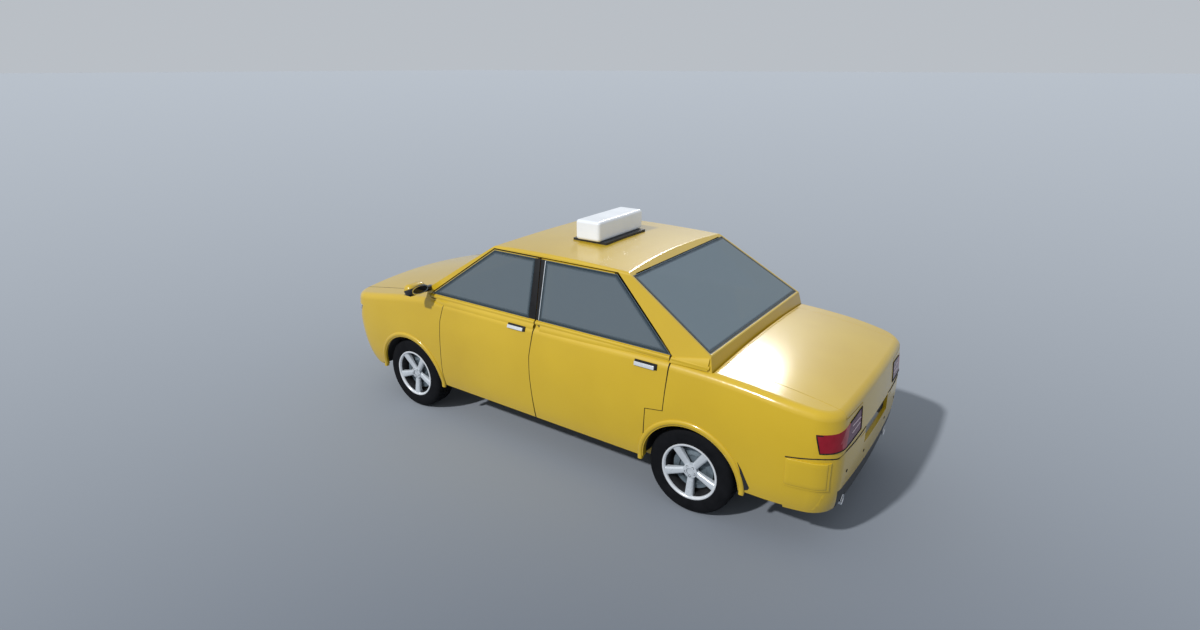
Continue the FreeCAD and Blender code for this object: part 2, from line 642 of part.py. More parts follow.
def front_axle():
    """Crossmember, lower arms and the kingpin stubs at their ends."""
    x = FRONT_AXLE_X
    low, top = ARM_Z
    beam = box(x - 60, x + 60, -445, 445, TYRE_R - 67, TYRE_R + 13)
    arms = [box(x - 24, x + 24, s * 560 - 160, s * 560 + 160, low, top) for s in (-1, 1)]
    legs = [box(x - 24, x + 24, s * 415 - 30, s * 415 + 30, low, TYRE_R - 57) for s in (-1, 1)]
    pins = [Part.makeCylinder(KINGPIN_R, 60, V(x, s * KINGPIN_Y, top - 7)) for s in (-1, 1)]
    return joined([beam] + arms + legs + pins)


def knuckle():
    """Left upright with its kingpin bore and the spindle for the wheel."""
    x, y = FRONT_AXLE_X, KINGPIN_Y
    bottom = ARM_Z[1] + SEAT_GAP
    upright = Part.makeCylinder(26, TYRE_R + 83 - bottom, V(x, y, bottom))
    flange = rod(x, TYRE_R, y - 20, y + 32, 48)
    spindle = rod(x, TYRE_R, y, HUB_Y[1] - 4, SPINDLE_R)
    shape = joined([upright, flange, spindle])
    return shape.cut(Part.makeCylinder(KINGPIN_R + RUNNING, 70, V(x, y, bottom - 1)))


def rear_axle():
    x = REAR_AXLE_X
    beam = rod(x, TYRE_R, -640, 640, BEAM_R)
    spindles = [rod(x, TYRE_R, 630, HUB_Y[1] - 4, SPINDLE_R), rod(x, TYRE_R, -HUB_Y[1] + 4, -630, SPINDLE_R)]
    arms = [box(x, KICK_X - 15, s * 520 - 30, s * 520 + 30, TYRE_R - 27, TYRE_R + 33) for s in (-1, 1)]
    return joined([beam] + spindles + arms)


# ---------------------------------------------------------------- wheels
def ring_profile(points, x):
    """Solid of revolution about the wheel axis from (radius, y) points."""
    face = Part.Face(wire([(x + r, y, TYRE_R) for r, y in points]))
    return face.revolve(V(x, 0, TYRE_R), V(0, 1, 0), 360)


TYRE_PROFILE = [(RIM_R - 4, -86), (RIM_R + 14, -97), (TYRE_R - 55, -97), (TYRE_R - 17, -88), (TYRE_R - 3, -72),
                (TYRE_R, -52), (TYRE_R, 52), (TYRE_R - 3, 72), (TYRE_R - 17, 88), (TYRE_R - 55, 97),
                (RIM_R + 14, 97), (RIM_R - 4, 86)]
BARREL = [(RIM_R - 24, -84), (RIM_R - 5, -84), (RIM_R - 4.5, 85), (RIM_R - 3, 92), (RIM_R, 93), (RIM_R, 97),
          (RIM_R - 10, 97), (RIM_R - 18, 84)]
SPOKES = 5
SPOKE_ROOT = 34.0
SPOKE_TIP = 26.0
SPOKE_END = RIM_R - 16.0
SPOKE_Y = (786.0, 810.0)
HUB_R = 70.0
HUB_PROUD = 6.0
DISC_R = 135.0
DISC_T = 12.0
BOLT_CIRCLE_R = 50.0
BOLT_R = 7.0
BOLT_Y = 790.0


def tyre(x):
    return ring_profile([(r, TRACK_HALF + y) for r, y in TYRE_PROFILE], x)


def rim(x):
    """Rim barrel, five tapered spokes, hub with the spindle bore, and the brake disc."""
    barrel = ring_profile([(r, TRACK_HALF + y) for r, y in BARREL], x)
    hub = rod(x, TYRE_R, HUB_Y[0], HUB_Y[1] + HUB_PROUD, HUB_R)
    disc = rod(x, TYRE_R, HUB_Y[0], HUB_Y[0] + DISC_T, DISC_R)
    spokes = []
    for i in range(SPOKES):
        outline = [(0, -SPOKE_ROOT), (SPOKE_END, -SPOKE_TIP), (SPOKE_END, SPOKE_TIP), (0, SPOKE_ROOT)]
        blade = Part.Face(wire([(x + r, SPOKE_Y[0], TYRE_R + w) for r, w in outline]))
        blade = blade.extrude(V(0, SPOKE_Y[1] - SPOKE_Y[0], 0))
        blade.rotate(V(x, 0, TYRE_R), V(0, 1, 0), -90 + i * 360 / SPOKES)
        spokes.append(blade)
    shape = joined([barrel, hub, disc] + spokes)
    bore = rod(x, TYRE_R, HUB_Y[0] - 1, HUB_Y[1] - 4 + SEAT_GAP, SPINDLE_R + RUNNING)
    bolts = [rod(x + BOLT_CIRCLE_R * math.cos(a), TYRE_R + BOLT_CIRCLE_R * math.sin(a), BOLT_Y, 900, BOLT_R)
             for a in [2 * math.pi * (i + 0.5) / SPOKES for i in range(SPOKES)]]
    return shape.cut([bore] + bolts)


# ---------------------------------------------------------------- inside
def seat(y_mid, width, x_back, base=True):
    """Cushion, back and headrest as one padded form on a plinth."""
    outline = [(x_back + 560, CUSHION_Z[0]), (x_back + 560, CUSHION_Z[1]), (x_back + 60, CUSHION_Z[1] - 30),
               (x_back - 60, SEAT_TOP_Z), (x_back - 160, SEAT_TOP_Z), (x_back - 40, CUSHION_Z[0])]
    shape = prism_y(outline, y_mid - width / 2, y_mid + width / 2)
    if base:
        foot = box(x_back + 40, x_back + 460, y_mid - 150, y_mid + 150, FLOOR_Z + FLOOR_T, CUSHION_Z[0])
        rest = box(x_back - 160, x_back - 80, y_mid - 130, y_mid + 130, SEAT_TOP_Z - 5, HEADREST_TOP_Z)
        return joined([shape, foot, rest])
    foot = box(x_back, x_back + 480, -560, 560, FLOOR_Z + FLOOR_T, CUSHION_Z[0] + 1)
    return joined([shape, foot]).cut(box(-BIG, BIG, -TUNNEL_HALF - 1, TUNNEL_HALF + 1, 0, TUNNEL_Z + 1))


def steering_axis():
    a = math.radians(STEER_TILT)
    return V(-math.cos(a), 0, math.sin(a)), V(STEER_X, STEER_Y, STEER_Z)


def dashboard():
    outline = [(BULKHEAD_X, 640), (1010, 680), (960, 900), (990, 990), (1140, 1028), (BULKHEAD_X, 1028)]
    tray = prism_y(outline, -640, 640)
    along, hub = steering_axis()
    column = Part.makeCylinder(32, 250, hub - along * 280, along)
    shaft = Part.makeCylinder(STEER_SHAFT_R, 270, hub - along * 260, along)
    return joined([tray, column, shaft])


def steering_wheel():
    along, hub = steering_axis()
    ring = Part.makeTorus(STEER_R, 14, hub, along)
    boss = Part.makeCylinder(40, 44, hub - along * 22, along)
    arms = []
    for angle in (0, 180, 270):
        arm = Part.makeBox(STEER_R, 26, 12, V(0, -13, -6))
        arm.rotate(V(0, 0, 0), V(0, 0, 1), angle)
        arm.rotate(V(0, 0, 0), V(0, 0, 1), 90)
        arm.rotate(V(0, 0, 0), V(0, 1, 0), -(90 - STEER_TILT))
        arm.translate(hub)
        arms.append(arm)
    bore = Part.makeCylinder(STEER_SHAFT_R + RUNNING, 34, hub - along * 23, along)
    return joined([ring, boss] + arms).cut(bore)


def exhaust():
    rear, front = MUFFLER_X
    pipe = Part.makeCylinder(PIPE_R, PIPE_FRONT_X - front + 10, V(front - 10, 0, PIPE_Z), V(1, 0, 0))
    muffler = box(rear, front, -560, 560, PIPE_Z - 5, MUFFLER_TOP_Z)
    tips = [tail_pipe(s, TIP_R) for s in (-1, 1)]
    hangers = [box(rear + 100, rear + 120, s * 300 - 10, s * 300 + 10, MUFFLER_TOP_Z - 5, BOOT_FLOOR_Z) for s in (-1, 1)]
    return joined([pipe, muffler] + tips + hangers)


def engine():
    block = box(1260, 1900, -300, 300, 340, 860)
    feet = [box(1500, 1600, s * 335 - 40, s * 335 + 40, 380, 420) for s in (-1, 1)]
    return joined([block] + feet)


# ---------------------------------------------------------------- outside fittings
def mirror():
    """Left door mirror: arm on the pillar foot and a rounded shell."""
    shell = box(MIRROR_X[0], MIRROR_X[1], MIRROR_Y[0], MIRROR_Y[1], MIRROR_Z[0], MIRROR_Z[1])
    shell = shell.makeFillet(MIRROR_ROUND, shell.Edges)
    arm = box(MIRROR_X[0] + 8, MIRROR_X[0] + 48, 760, MIRROR_Y[0] + 34, MIRROR_Z[0] + 10, MIRROR_Z[0] + 40)
    return shell.fuse(arm).cut([UPPER, RAIL_BAR])


def rounded_box(x0, x1, half_w, z0, z1, radius):
    shape = box(x0, x1, -half_w, half_w, z0, z1)
    return shape.makeFillet(radius, shape.Edges)


def sign():
    return rounded_box(SIGN_X[0], SIGN_X[1], SIGN_HALF, SIGN_Z[0], SIGN_Z[1], 24)


def sign_base():
    return box(SIGN_BASE_X[0], SIGN_BASE_X[1], -SIGN_BASE_HALF, SIGN_BASE_HALF, 1570, SIGN_Z[0]).cut(
        UPPER.translated(V(0, 0, SEAT_GAP)))


# ---------------------------------------------------------------- nodes
NODES = {}


def add(name, shape):
    NODES[name] = shape


def add_pair(name, shape):
    add("left_" + name, shape)
    add("right_" + name, mirrored(shape))


add_pair("front_door", door(FRONT_DOOR, FRONT_PANE))
add_pair("rear_door", door(REAR_DOOR, REAR_PANE, "rear"))
add_pair("front_door_glass", pane(FRONT_PANE))
add_pair("rear_door_glass", pane(REAR_PANE))
add_pair("body_side", body_side())
add_pair("front_wing", wing())
add_pair("door_mirror", mirror())
add_pair("front_tyre", tyre(FRONT_AXLE_X))
add_pair("rear_tyre", tyre(REAR_AXLE_X))
add_pair("front_rim", rim(FRONT_AXLE_X))
add_pair("rear_rim", rim(REAR_AXLE_X))
add_pair("knuckle", knuckle())
add("roof_panel", roof())
add("windscreen", end_glass(*SCREEN_AT))
add("rear_window", end_glass(*BACKLIGHT_AT))
add("scuttle", scuttle())
add("parcel_shelf", parcel_shelf())
add("boot_lid", boot_lid())
add("bonnet", bonnet())
add("rear_bumper", rear_bumper())
add("rear_valance", valance())
add("front_bumper", front_bumper())
add("nose_panel", nose_panel())
add("grille", grille())
add("tail_lamps", lamps(REAR_LAMP_SPACE))
add("headlamps", lamps(HEAD_LAMP_SPACE))
add("wheel_liners", Part.makeCompound([both_sides(liner(end)) for end in WHEEL_X]))
add("floor_pan", floor_pan())
add("front_frame", front_frame())
add("front_axle", front_axle())
add("rear_axle", rear_axle())
add("exhaust", exhaust())
add("engine_block", engine())
add_pair("front_seat", seat(STEER_Y, 500, 80))
add("rear_seat", seat(0, 1180, -800, False))
add("dashboard", dashboard())
add("steering_wheel", steering_wheel())
add("taxi_sign", sign())
add("taxi_sign_base", sign_base())

os.makedirs("parts", exist_ok=True)
for node, shape in NODES.items():
    shape.exportStep("parts/" + node + ".step")
    print(node, len(shape.Solids), shape.isValid(), round(shape.Volume / 1e6, 1))
print(len(NODES), "nodes")
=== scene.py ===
# %% [markdown]
# # A saloon taxi, finished in Blender
# The car arrives as a packed set of panels, glass and wheels, all in one frame: X points forward, Y to the
# car's left and Z up, with the ground at zero. This script never moves those panels. It gives them their
# finishes, and it models the pieces that a body shop would fit last: glass, lamps, rims, tyres, handles,
# mirrors, rubber seals, seats and the small parts under the lids.

# %% load the frame
import math

import bpy
import bmesh
from mathutils import Matrix, Vector
from mathutils.bvhtree import BVHTree


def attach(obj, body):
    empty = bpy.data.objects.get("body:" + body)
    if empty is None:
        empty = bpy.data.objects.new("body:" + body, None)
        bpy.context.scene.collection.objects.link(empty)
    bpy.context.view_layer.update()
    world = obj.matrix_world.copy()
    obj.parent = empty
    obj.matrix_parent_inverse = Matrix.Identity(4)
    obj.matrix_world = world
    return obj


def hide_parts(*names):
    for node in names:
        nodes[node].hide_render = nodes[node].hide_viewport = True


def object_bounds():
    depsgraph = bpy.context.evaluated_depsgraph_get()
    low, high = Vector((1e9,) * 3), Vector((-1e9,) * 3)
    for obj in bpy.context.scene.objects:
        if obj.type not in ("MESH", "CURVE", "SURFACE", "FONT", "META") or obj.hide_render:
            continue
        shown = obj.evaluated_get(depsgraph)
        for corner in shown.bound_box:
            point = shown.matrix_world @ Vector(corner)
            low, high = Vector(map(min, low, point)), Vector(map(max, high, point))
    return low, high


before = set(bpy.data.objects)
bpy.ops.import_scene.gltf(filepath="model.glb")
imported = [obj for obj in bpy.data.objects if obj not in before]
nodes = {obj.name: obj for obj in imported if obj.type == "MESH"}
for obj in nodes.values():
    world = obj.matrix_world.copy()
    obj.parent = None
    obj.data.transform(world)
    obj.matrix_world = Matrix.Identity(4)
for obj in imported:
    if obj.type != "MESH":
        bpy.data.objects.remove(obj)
cad_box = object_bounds()
scene = bpy.context.scene
print("nodes", len(nodes), "box", [[round(v, 3) for v in corner] for corner in cad_box])

# %% [markdown]
# ## The camera
# The car is seen from behind its left rear corner, from a little above, with a short lens. A camera looks
# along its own -Z axis, so the direction is turned into a rotation with to_track_quat.

# %% camera
CAMERA_AT = Vector((-3.035, 4.401, 2.895))
LOOK_ALONG = Vector((0.5367, -0.7701, -0.3449))
LENS_MM = 20.37

camera_data = bpy.data.cameras.new("camera")
camera_data.lens = LENS_MM
camera_data.sensor_width = 36.0
camera = bpy.data.objects.new("camera", camera_data)
camera.location = CAMERA_AT
camera.rotation_euler = LOOK_ALONG.to_track_quat("-Z", "Y").to_euler()
scene.collection.objects.link(camera)
scene.camera = camera
print("camera at", [round(v, 2) for v in camera.location], "lens", camera_data.lens)

# %% [markdown]
# ## Helpers for shader nodes
# Every finish here is a small tree of shader nodes. Short helpers keep the trees readable: one makes a
# material with its Principled shader, one adds a node and sets its inputs by name, and the others give the
# noises, ramps and bumps that most finishes share.

# %% node helpers
def new_material(name):
    mat = bpy.data.materials.new(name)
    mat.use_nodes = True
    shader = mat.node_tree.nodes["Principled BSDF"]
    return mat, mat.node_tree, shader


def add_node(tree, kind, values=None, **settings):
    node = tree.nodes.new("ShaderNode" + kind)
    for key, value in settings.items():
        setattr(node, key, value)
    for key, value in (values or {}).items():
        node.inputs[key].default_value = value
    return node


def link(tree, source, output, target, socket):
    tree.links.new(source.outputs[output], target.inputs[socket])


def object_coords(tree):
    return add_node(tree, "TexCoord")


def set_shader(shader, **values):
    for key, value in values.items():
        shader.inputs[key.replace("_", " ")].default_value = value


def noise(tree, coords, scale, detail=2.0, roughness=0.5, output="Object"):
    node = add_node(tree, "TexNoise", {"Scale": scale, "Detail": detail, "Roughness": roughness})
    link(tree, coords, output, node, "Vector")
    return node



def ramp(tree, source, output, low, high, low_at=0.0, high_at=1.0):
    """Two-stop colour ramp fed by a grey value."""
    node = add_node(tree, "ValToRGB")
    stops = node.color_ramp.elements
    stops[0].position, stops[0].color = low_at, (*low, 1)
    stops[1].position, stops[1].color = high_at, (*high, 1)
    link(tree, source, output, node, "Fac")
    return node


def span(tree, source, output, from_low, from_high, to_low, to_high):
    """A grey value moved from one range to another and held inside it."""
    node = add_node(tree, "MapRange", {"From Min": from_low, "From Max": from_high, "To Min": to_low,
                                       "To Max": to_high})
    link(tree, source, output, node, "Value")
    return node


def bump(tree, shader, source, output, strength, distance):
    node = add_node(tree, "Bump", {"Strength": strength, "Distance": distance})
    link(tree, source, output, node, "Height")
    link(tree, node, "Normal", shader, "Normal")
    return node


# %% [markdown]
# ## Paint
# Car paint is a coloured base under a clear coat. The base is slightly uneven in tone, which a faint, large
# noise gives, and the clear coat has a fine ripple that shows only in reflections. Road dust dulls the
# lowest hand's breadth of every panel, so the colour greys a little near the sills. The coat values stay on
# the shader's own sockets, because they are the same all over the car.

# %% paint
PAINT = (0.62, 0.415, 0.016)
PAINT_DEEP = (0.575, 0.378, 0.013)
ROAD_DUST = (0.30, 0.24, 0.12)


def make_paint():
    mat, tree, shader = new_material("body_paint_yellow")
    coords = object_coords(tree)
    tone = noise(tree, coords, 1.6, 3.0)
    colour = ramp(tree, tone, "Fac", PAINT_DEEP, PAINT, 0.35, 0.65)
    axes = add_node(tree, "SeparateXYZ")
    link(tree, coords, "Object", axes, "Vector")
    low = span(tree, axes, "Z", 0.30, 0.44, 0.16, 0.0)
    speckle = noise(tree, coords, 9.0, 6.0, 0.7)
    film = add_node(tree, "Math", operation="MULTIPLY")
    link(tree, low, "Result", film, 0)
    link(tree, speckle, "Fac", film, 1)
    blend = add_node(tree, "Mix", data_type="RGBA")
    link(tree, film, "Value", blend, "Factor")
    tree.links.new(colour.outputs["Color"], blend.inputs[6])
    blend.inputs[7].default_value = (*ROAD_DUST, 1)
    tree.links.new(blend.outputs[2], shader.inputs["Base Color"])
    ripple = noise(tree, coords, 55.0, 1.0)
    bump(tree, shader, ripple, "Fac", 0.02, 0.002)
    set_shader(shader, Roughness=0.42, Metallic=0.0, Specular_IOR_Level=0.3)
    set_shader(shader, Coat_Weight=1.0, Coat_Roughness=0.16, Coat_IOR=1.5)
    return mat


paint = make_paint()
print("paint", paint.name)

# %% [markdown]
# ## Rubber, plastic, metal, cloth and glass
# The other finishes are the ones a car has everywhere: soft black rubber in the seals, grained black plastic
# on the valance and mirrors, bright alloy, dull cast iron underneath, coated steel, chrome, and trim cloth.
# Each gets colour variation and a bump at its own scale, so that none of them is one flat colour.

# %% plain finishes
def make_finish(name, dark, light, scale, roughness, metal=0.0, grain=0.15, grain_scale=400.0, depth=0.0006,
                coat=0.0,
                specular=0.5):
    """Two tones mixed by a noise, an uneven roughness and a fine grain."""
    mat, tree, shader = new_material(name)
    coords = object_coords(tree)
    tone = noise(tree, coords, scale, 5.0, 0.6)
    colour = ramp(tree, tone, "Fac", dark, light, 0.3, 0.7)
    link(tree, colour, "Color", shader, "Base Color")
    gloss = span(tree, tone, "Fac", 0.25, 0.75, roughness[0], roughness[1])
    link(tree, gloss, "Result", shader, "Roughness")
    fine = noise(tree, coords, grain_scale, 2.0)
    bump(tree, shader, fine, "Fac", grain, depth)
    set_shader(shader, Metallic=metal, Coat_Weight=coat, Specular_IOR_Level=specular)
    return mat


rubber = make_finish("seal_rubber", (0.006, 0.006, 0.007), (0.014, 0.014, 0.015), 30, (0.55, 0.75),
                     specular=0.25)
tyre_rubber = make_finish("tyre_rubber", (0.0030, 0.0034, 0.0046), (0.0075, 0.0080, 0.0100), 14, (0.7, 0.9),
                          grain=0.35, grain_scale=260, specular=0.12)
plastic = make_finish("black_trim_plastic", (0.012, 0.012, 0.013), (0.022, 0.022, 0.024), 20, (0.38, 0.55),
                      grain=0.3)
slate_plastic = make_finish("dashboard_plastic", (0.030, 0.034, 0.038), (0.048, 0.052, 0.056), 16,
                            (0.5, 0.7), grain=0.45)
alloy = make_finish("wheel_alloy", (0.52, 0.56, 0.60), (0.60, 0.64, 0.68), 6, (0.24, 0.32), metal=0.2,
                    grain=0.01, coat=0.5)
bright_alloy = make_finish("polished_rim_edge", (0.70, 0.73, 0.76), (0.80, 0.82, 0.85), 8, (0.16, 0.24),
                           metal=0.3, grain=0.01)
disc_steel = make_finish("brake_disc_steel", (0.12, 0.155, 0.18), (0.16, 0.20, 0.23), 25, (0.35, 0.5),
                         metal=0.3, grain=0.03)
cast_iron = make_finish("cast_iron", (0.035, 0.034, 0.033), (0.085, 0.075, 0.065), 18, (0.55, 0.8),
                        metal=0.4, grain=0.7, depth=0.001)
coated_steel = make_finish("underbody_coating", (0.012, 0.013, 0.014), (0.030, 0.029, 0.027), 12,
                           (0.6, 0.85), grain=0.8,
                           grain_scale=160, depth=0.0012)
chrome = make_finish("chrome", (0.72, 0.74, 0.77), (0.82, 0.84, 0.87), 22, (0.07, 0.16), metal=1.0,
                     grain=0.03)
satin_silver = make_finish("handle_silver", (0.62, 0.65, 0.68), (0.70, 0.73, 0.76), 40, (0.2, 0.32),
                           metal=0.2, grain=0.01)
exhaust_steel = make_finish("exhaust_steel", (0.16, 0.14, 0.12), (0.36, 0.33, 0.30), 9, (0.3, 0.55),
                            metal=0.8, grain=0.3)
white_cover = make_finish("sign_white_plastic", (0.70, 0.72, 0.75), (0.76, 0.78, 0.81), 6, (0.28, 0.40),
                          grain=0.1, coat=0.2)
# The sign glows faintly, as a lit taxi sign does, and the glow is also painted light that lifts its shaded
# sides.
set_shader(white_cover.node_tree.nodes["Principled BSDF"], Emission_Color=(0.80, 0.90, 1.0, 1),
           Emission_Strength=0.10)
plate_grey = make_finish("blank_plate", (0.20, 0.215, 0.235), (0.235, 0.25, 0.27), 14, (0.35, 0.5),
                         grain=0.12)
mirror_glass = make_finish("mirror_glass", (0.010, 0.010, 0.012), (0.016, 0.016, 0.018), 8, (0.04, 0.08),
                           metal=0.2, grain=0.01)
carpet = make_finish("floor_carpet", (0.016, 0.017, 0.019), (0.040, 0.041, 0.044), 90, (0.9, 1.0),
                     grain=1.0,
                     grain_scale=900, depth=0.002)
print("materials", len(bpy.data.materials))

# %% [markdown]
# ## Cloth and leathers of the trim
# Seat cloth is woven from dark yarns: two sets of fine waves crossed at right angles give the weave, and
# a slow noise gives the rubbed and faded patches of a working car. The headlining is a pale brushed felt.

# %% trim cloth
def make_cloth(name, dark, light, thread=900.0, fuzz=0.3):
    mat, tree, shader = new_material(name)
    coords = object_coords(tree)
    warp = add_node(tree, "TexWave", {"Scale": thread / 6.0, "Distortion": 0.6, "Detail": 1.0},
                    bands_direction="X")
    weft = add_node(tree, "TexWave", {"Scale": thread / 6.0, "Distortion": 0.6, "Detail": 1.0},
                    bands_direction="Y")
    for wave in (warp, weft):
        link(tree, coords, "Object", wave, "Vector")
    weave = add_node(tree, "Math", operation="MAXIMUM")
    link(tree, warp, "Fac", weave, 0)
    link(tree, weft, "Fac", weave, 1)
    worn = noise(tree, coords, 5.0, 5.0, 0.65)
    mixed = add_node(tree, "Math", operation="MULTIPLY")
    link(tree, weave, "Value", mixed, 0)
    link(tree, worn, "Fac", mixed, 1)
    colour = ramp(tree, mixed, "Value", dark, light, 0.15, 0.7)
    link(tree, colour, "Color", shader, "Base Color")
    bump(tree, shader, weave, "Value", 0.5, 0.0008)
    set_shader(shader, Roughness=0.9, Sheen_Weight=fuzz, Sheen_Roughness=0.5, Specular_IOR_Level=0.2)
    return mat


seat_cloth = make_cloth("seat_cloth", (0.020, 0.023, 0.028), (0.060, 0.066, 0.076))
door_cloth = make_cloth("door_card_cloth", (0.028, 0.032, 0.037), (0.062, 0.068, 0.076), 700)
headlining = make_cloth("headlining_felt", (0.16, 0.17, 0.175), (0.25, 0.26, 0.265), 500)
print("cloths", seat_cloth.name, door_cloth.name, headlining.name)

# %% [markdown]
# ## Window glass
# Tinted safety glass shows three things at once: a dark cabin through it, a blue-grey veil of its own tint,
# and a paler, more opaque band at its rim. The band is stored as an attribute on each pane,
# 1 at its rim and 0 further in, and the shader reads that attribute for both colour and opacity.

# %% window glass
def make_glass(name, tint, border, clear, solid, edge_solid):
    mat, tree, shader = new_material(name)
    coords = object_coords(tree)
    edge = add_node(tree, "Attribute", attribute_name="border")
    streaks = noise(tree, coords, 3.0, 3.0)
    tone = ramp(tree, streaks, "Fac", tint, clear, 0.3, 0.75)
    blend = add_node(tree, "Mix", data_type="RGBA")
    blend.inputs[7].default_value = (*border, 1)
    link(tree, edge, "Fac", blend, "Factor")
    tree.links.new(tone.outputs["Color"], blend.inputs[6])
    tree.links.new(blend.outputs[2], shader.inputs["Base Color"])
    opacity = span(tree, edge, "Fac", 0.0, 1.0, solid, edge_solid)
    link(tree, opacity, "Result", shader, "Alpha")
    smear = noise(tree, coords, 24.0, 4.0)
    haze = span(tree, smear, "Fac", 0.3, 0.8, 0.06, 0.14)
    link(tree, haze, "Result", shader, "Roughness")
    set_shader(shader, IOR=1.30, Specular_IOR_Level=0.12)
    mat.surface_render_method = "BLENDED"
    return mat


side_glass = make_glass("tinted_side_glass", (0.021, 0.040, 0.055), (0.15, 0.185, 0.210),
                        (0.029, 0.050, 0.068), 0.60, 0.72)
end_glass = make_glass("tinted_end_glass", (0.040, 0.060, 0.082), (0.24, 0.30, 0.34), (0.048, 0.070, 0.094),
                       0.46, 0.66)
lens_clear = make_glass("clear_lamp_lens", (0.55, 0.60, 0.65), (0.6, 0.65, 0.7), (0.62, 0.67, 0.72), 0.25,
                        0.4)
print("glass", side_glass.name, end_glass.name)

# %% [markdown]
# ## Dress the carried-over panels
# The panels keep their exact shape. Only the material in their slot changes.

# %% dress the panels
def dress(names, mat):
    for name in names:
        for slot in nodes[name].material_slots:
            slot.material = mat


SIDES = ("left", "right")


def pair(*names):
    return [side + "_" + name for name in names for side in SIDES]


dress(["roof_panel", "scuttle", "parcel_shelf", "boot_lid", "bonnet", "rear_bumper", "front_bumper",
       "nose_panel"], paint)
dress(pair("front_door", "rear_door", "body_side", "front_wing"), paint)
dress(["rear_valance", "taxi_sign_base", "wheel_liners", "grille"], plastic)
dress(["dashboard", "steering_wheel"], slate_plastic)
dress(["floor_pan", "front_frame"], coated_steel)
dress(["front_axle", "rear_axle", "engine_block"] + pair("knuckle"), cast_iron)
dress(["exhaust"], exhaust_steel)
dress(["taxi_sign"], white_cover)
dress(["headlamps"], lens_clear)
print("dressed", len(nodes), "nodes")

# %% [markdown]
# ## Modelling helpers
# Every new piece starts from a primitive, is shaped in edit mode and keeps its place in its mesh, so that
# its object stays at the origin. The helpers below open a piece, pick its faces by place or normal, and give
# it its material and its body at the end, hiding the imported parts it stands for. A primitive circle with its
# corners moved to an outline is the start of every flat shape here, because a filled outline can be extruded
# and inset.

# %% edit helpers
ORIGIN = (0.0, 0.0, 0.0)


def clear_selection():
    if bpy.context.object and bpy.context.object.mode != "OBJECT":
        bpy.ops.object.mode_set(mode="OBJECT")
    bpy.ops.object.select_all(action="DESELECT")


def open_piece(obj, kind="FACE", everything=False):
    clear_selection()
    obj.select_set(True)
    bpy.context.view_layer.objects.active = obj
    bpy.ops.object.mode_set(mode="EDIT")
    bpy.ops.mesh.select_mode(type=kind)
    bpy.ops.mesh.select_all(action="SELECT" if everything else "DESELECT")


def close_piece():
    bpy.ops.object.mode_set(mode="OBJECT")


def pick(obj, test):
    """Select, in edit mode, the faces whose middle and normal pass a test."""
    mesh = bmesh.from_edit_mesh(obj.data)
    count = 0
    for face in mesh.faces:
        chosen = bool(test(face.calc_center_median(), face.normal))
        face.select_set(chosen)
        count += chosen
    mesh.select_flush_mode()
    bmesh.update_edit_mesh(obj.data)
    return count


def pick_edges(obj, test):
    """Select, in edge mode, the edges whose two ends pass a test."""
    mesh = bmesh.from_edit_mesh(obj.data)
    for edge in mesh.edges:
        edge.select_set(bool(test(edge.verts[0].co, edge.verts[1].co)))
    bmesh.update_edit_mesh(obj.data)


def tidy_normals(obj, merge=0.00002):
    open_piece(obj, "VERT", True)
    bpy.ops.mesh.remove_doubles(threshold=merge)
    bpy.ops.mesh.normals_make_consistent(inside=False)
    close_piece()


def apply_modifier(obj, kind, **settings):
    clear_selection()
    obj.select_set(True)
    bpy.context.view_layer.objects.active = obj
    modifier = obj.modifiers.new(kind.lower(), kind)
    for key, value in settings.items():
        setattr(modifier, key, value)
    bpy.ops.object.modifier_apply(modifier=modifier.name)


def round_edges(obj, width, segments=2, angle=30.0):
    apply_modifier(obj, "BEVEL", width=width, segments=segments, limit_method="ANGLE",
                   angle_limit=math.radians(angle), harden_normals=False)


def smooth(obj, angle=35.0):
    clear_selection()
    obj.select_set(True)
    bpy.context.view_layer.objects.active = obj
    bpy.ops.object.shade_smooth_by_angle(angle=math.radians(angle), keep_sharp_edges=False)


def finish_piece(obj, name, mats, body, stands_for=(), angle=35.0):
    """Name, materials, shading and body of a finished piece; the parts it stands for are hidden."""
    obj.name = name
    obj.data.name = name
    mats = mats if isinstance(mats, (list, tuple)) else [mats]
    obj.data.materials.clear()
    for mat in mats:
        obj.data.materials.append(mat)
    smooth(obj, angle)
    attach(obj, body)
    if stands_for:
        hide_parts(*stands_for)
    return obj


def give_slot(obj, test, index):
    """Material slot of the faces that pass a test."""
    for face in obj.data.polygons:
        if test(face.center, face.normal):
            face.material_index = index


# %% starting shapes
def start_block(low, high):
    """A cube primitive carried to two corners in its mesh."""
    low, high = Vector(low), Vector(high)
    clear_selection()
    bpy.ops.mesh.primitive_cube_add(size=1.0, location=ORIGIN)
    obj = bpy.context.object
    open_piece(obj, "VERT", True)
    bpy.ops.transform.resize(value=tuple(high - low), center_override=ORIGIN)
    bpy.ops.transform.translate(value=tuple((low + high) / 2))
    close_piece()
    return obj


def start_outline(points, facing):
    """A filled circle primitive with its corners carried to an outline, turned to face a direction."""
    clear_selection()
    bpy.ops.mesh.primitive_circle_add(vertices=len(points), radius=1.0, fill_type="NGON", location=ORIGIN)
    obj = bpy.context.object
    for vertex, point in zip(obj.data.vertices, points):
        vertex.co = point
    obj.data.update()
    if obj.data.polygons[0].normal.dot(Vector(facing)) < 0:
        open_piece(obj, "FACE", True)
        bpy.ops.mesh.flip_normals()
        close_piece()
    return obj


def start_rod(at, toward, radius, length, sides=32):
    """A cylinder primitive from one point along a direction."""
    clear_selection()
    bpy.ops.mesh.primitive_cylinder_add(vertices=sides, radius=radius, depth=length, location=ORIGIN)
    obj = bpy.context.object
    direction = Vector(toward).normalized()
    turn = direction.to_track_quat("Z", "Y").to_matrix().to_4x4()
    place = Matrix.Translation(Vector(at) + direction * length / 2) @ turn
    obj.data.transform(place)
    return obj


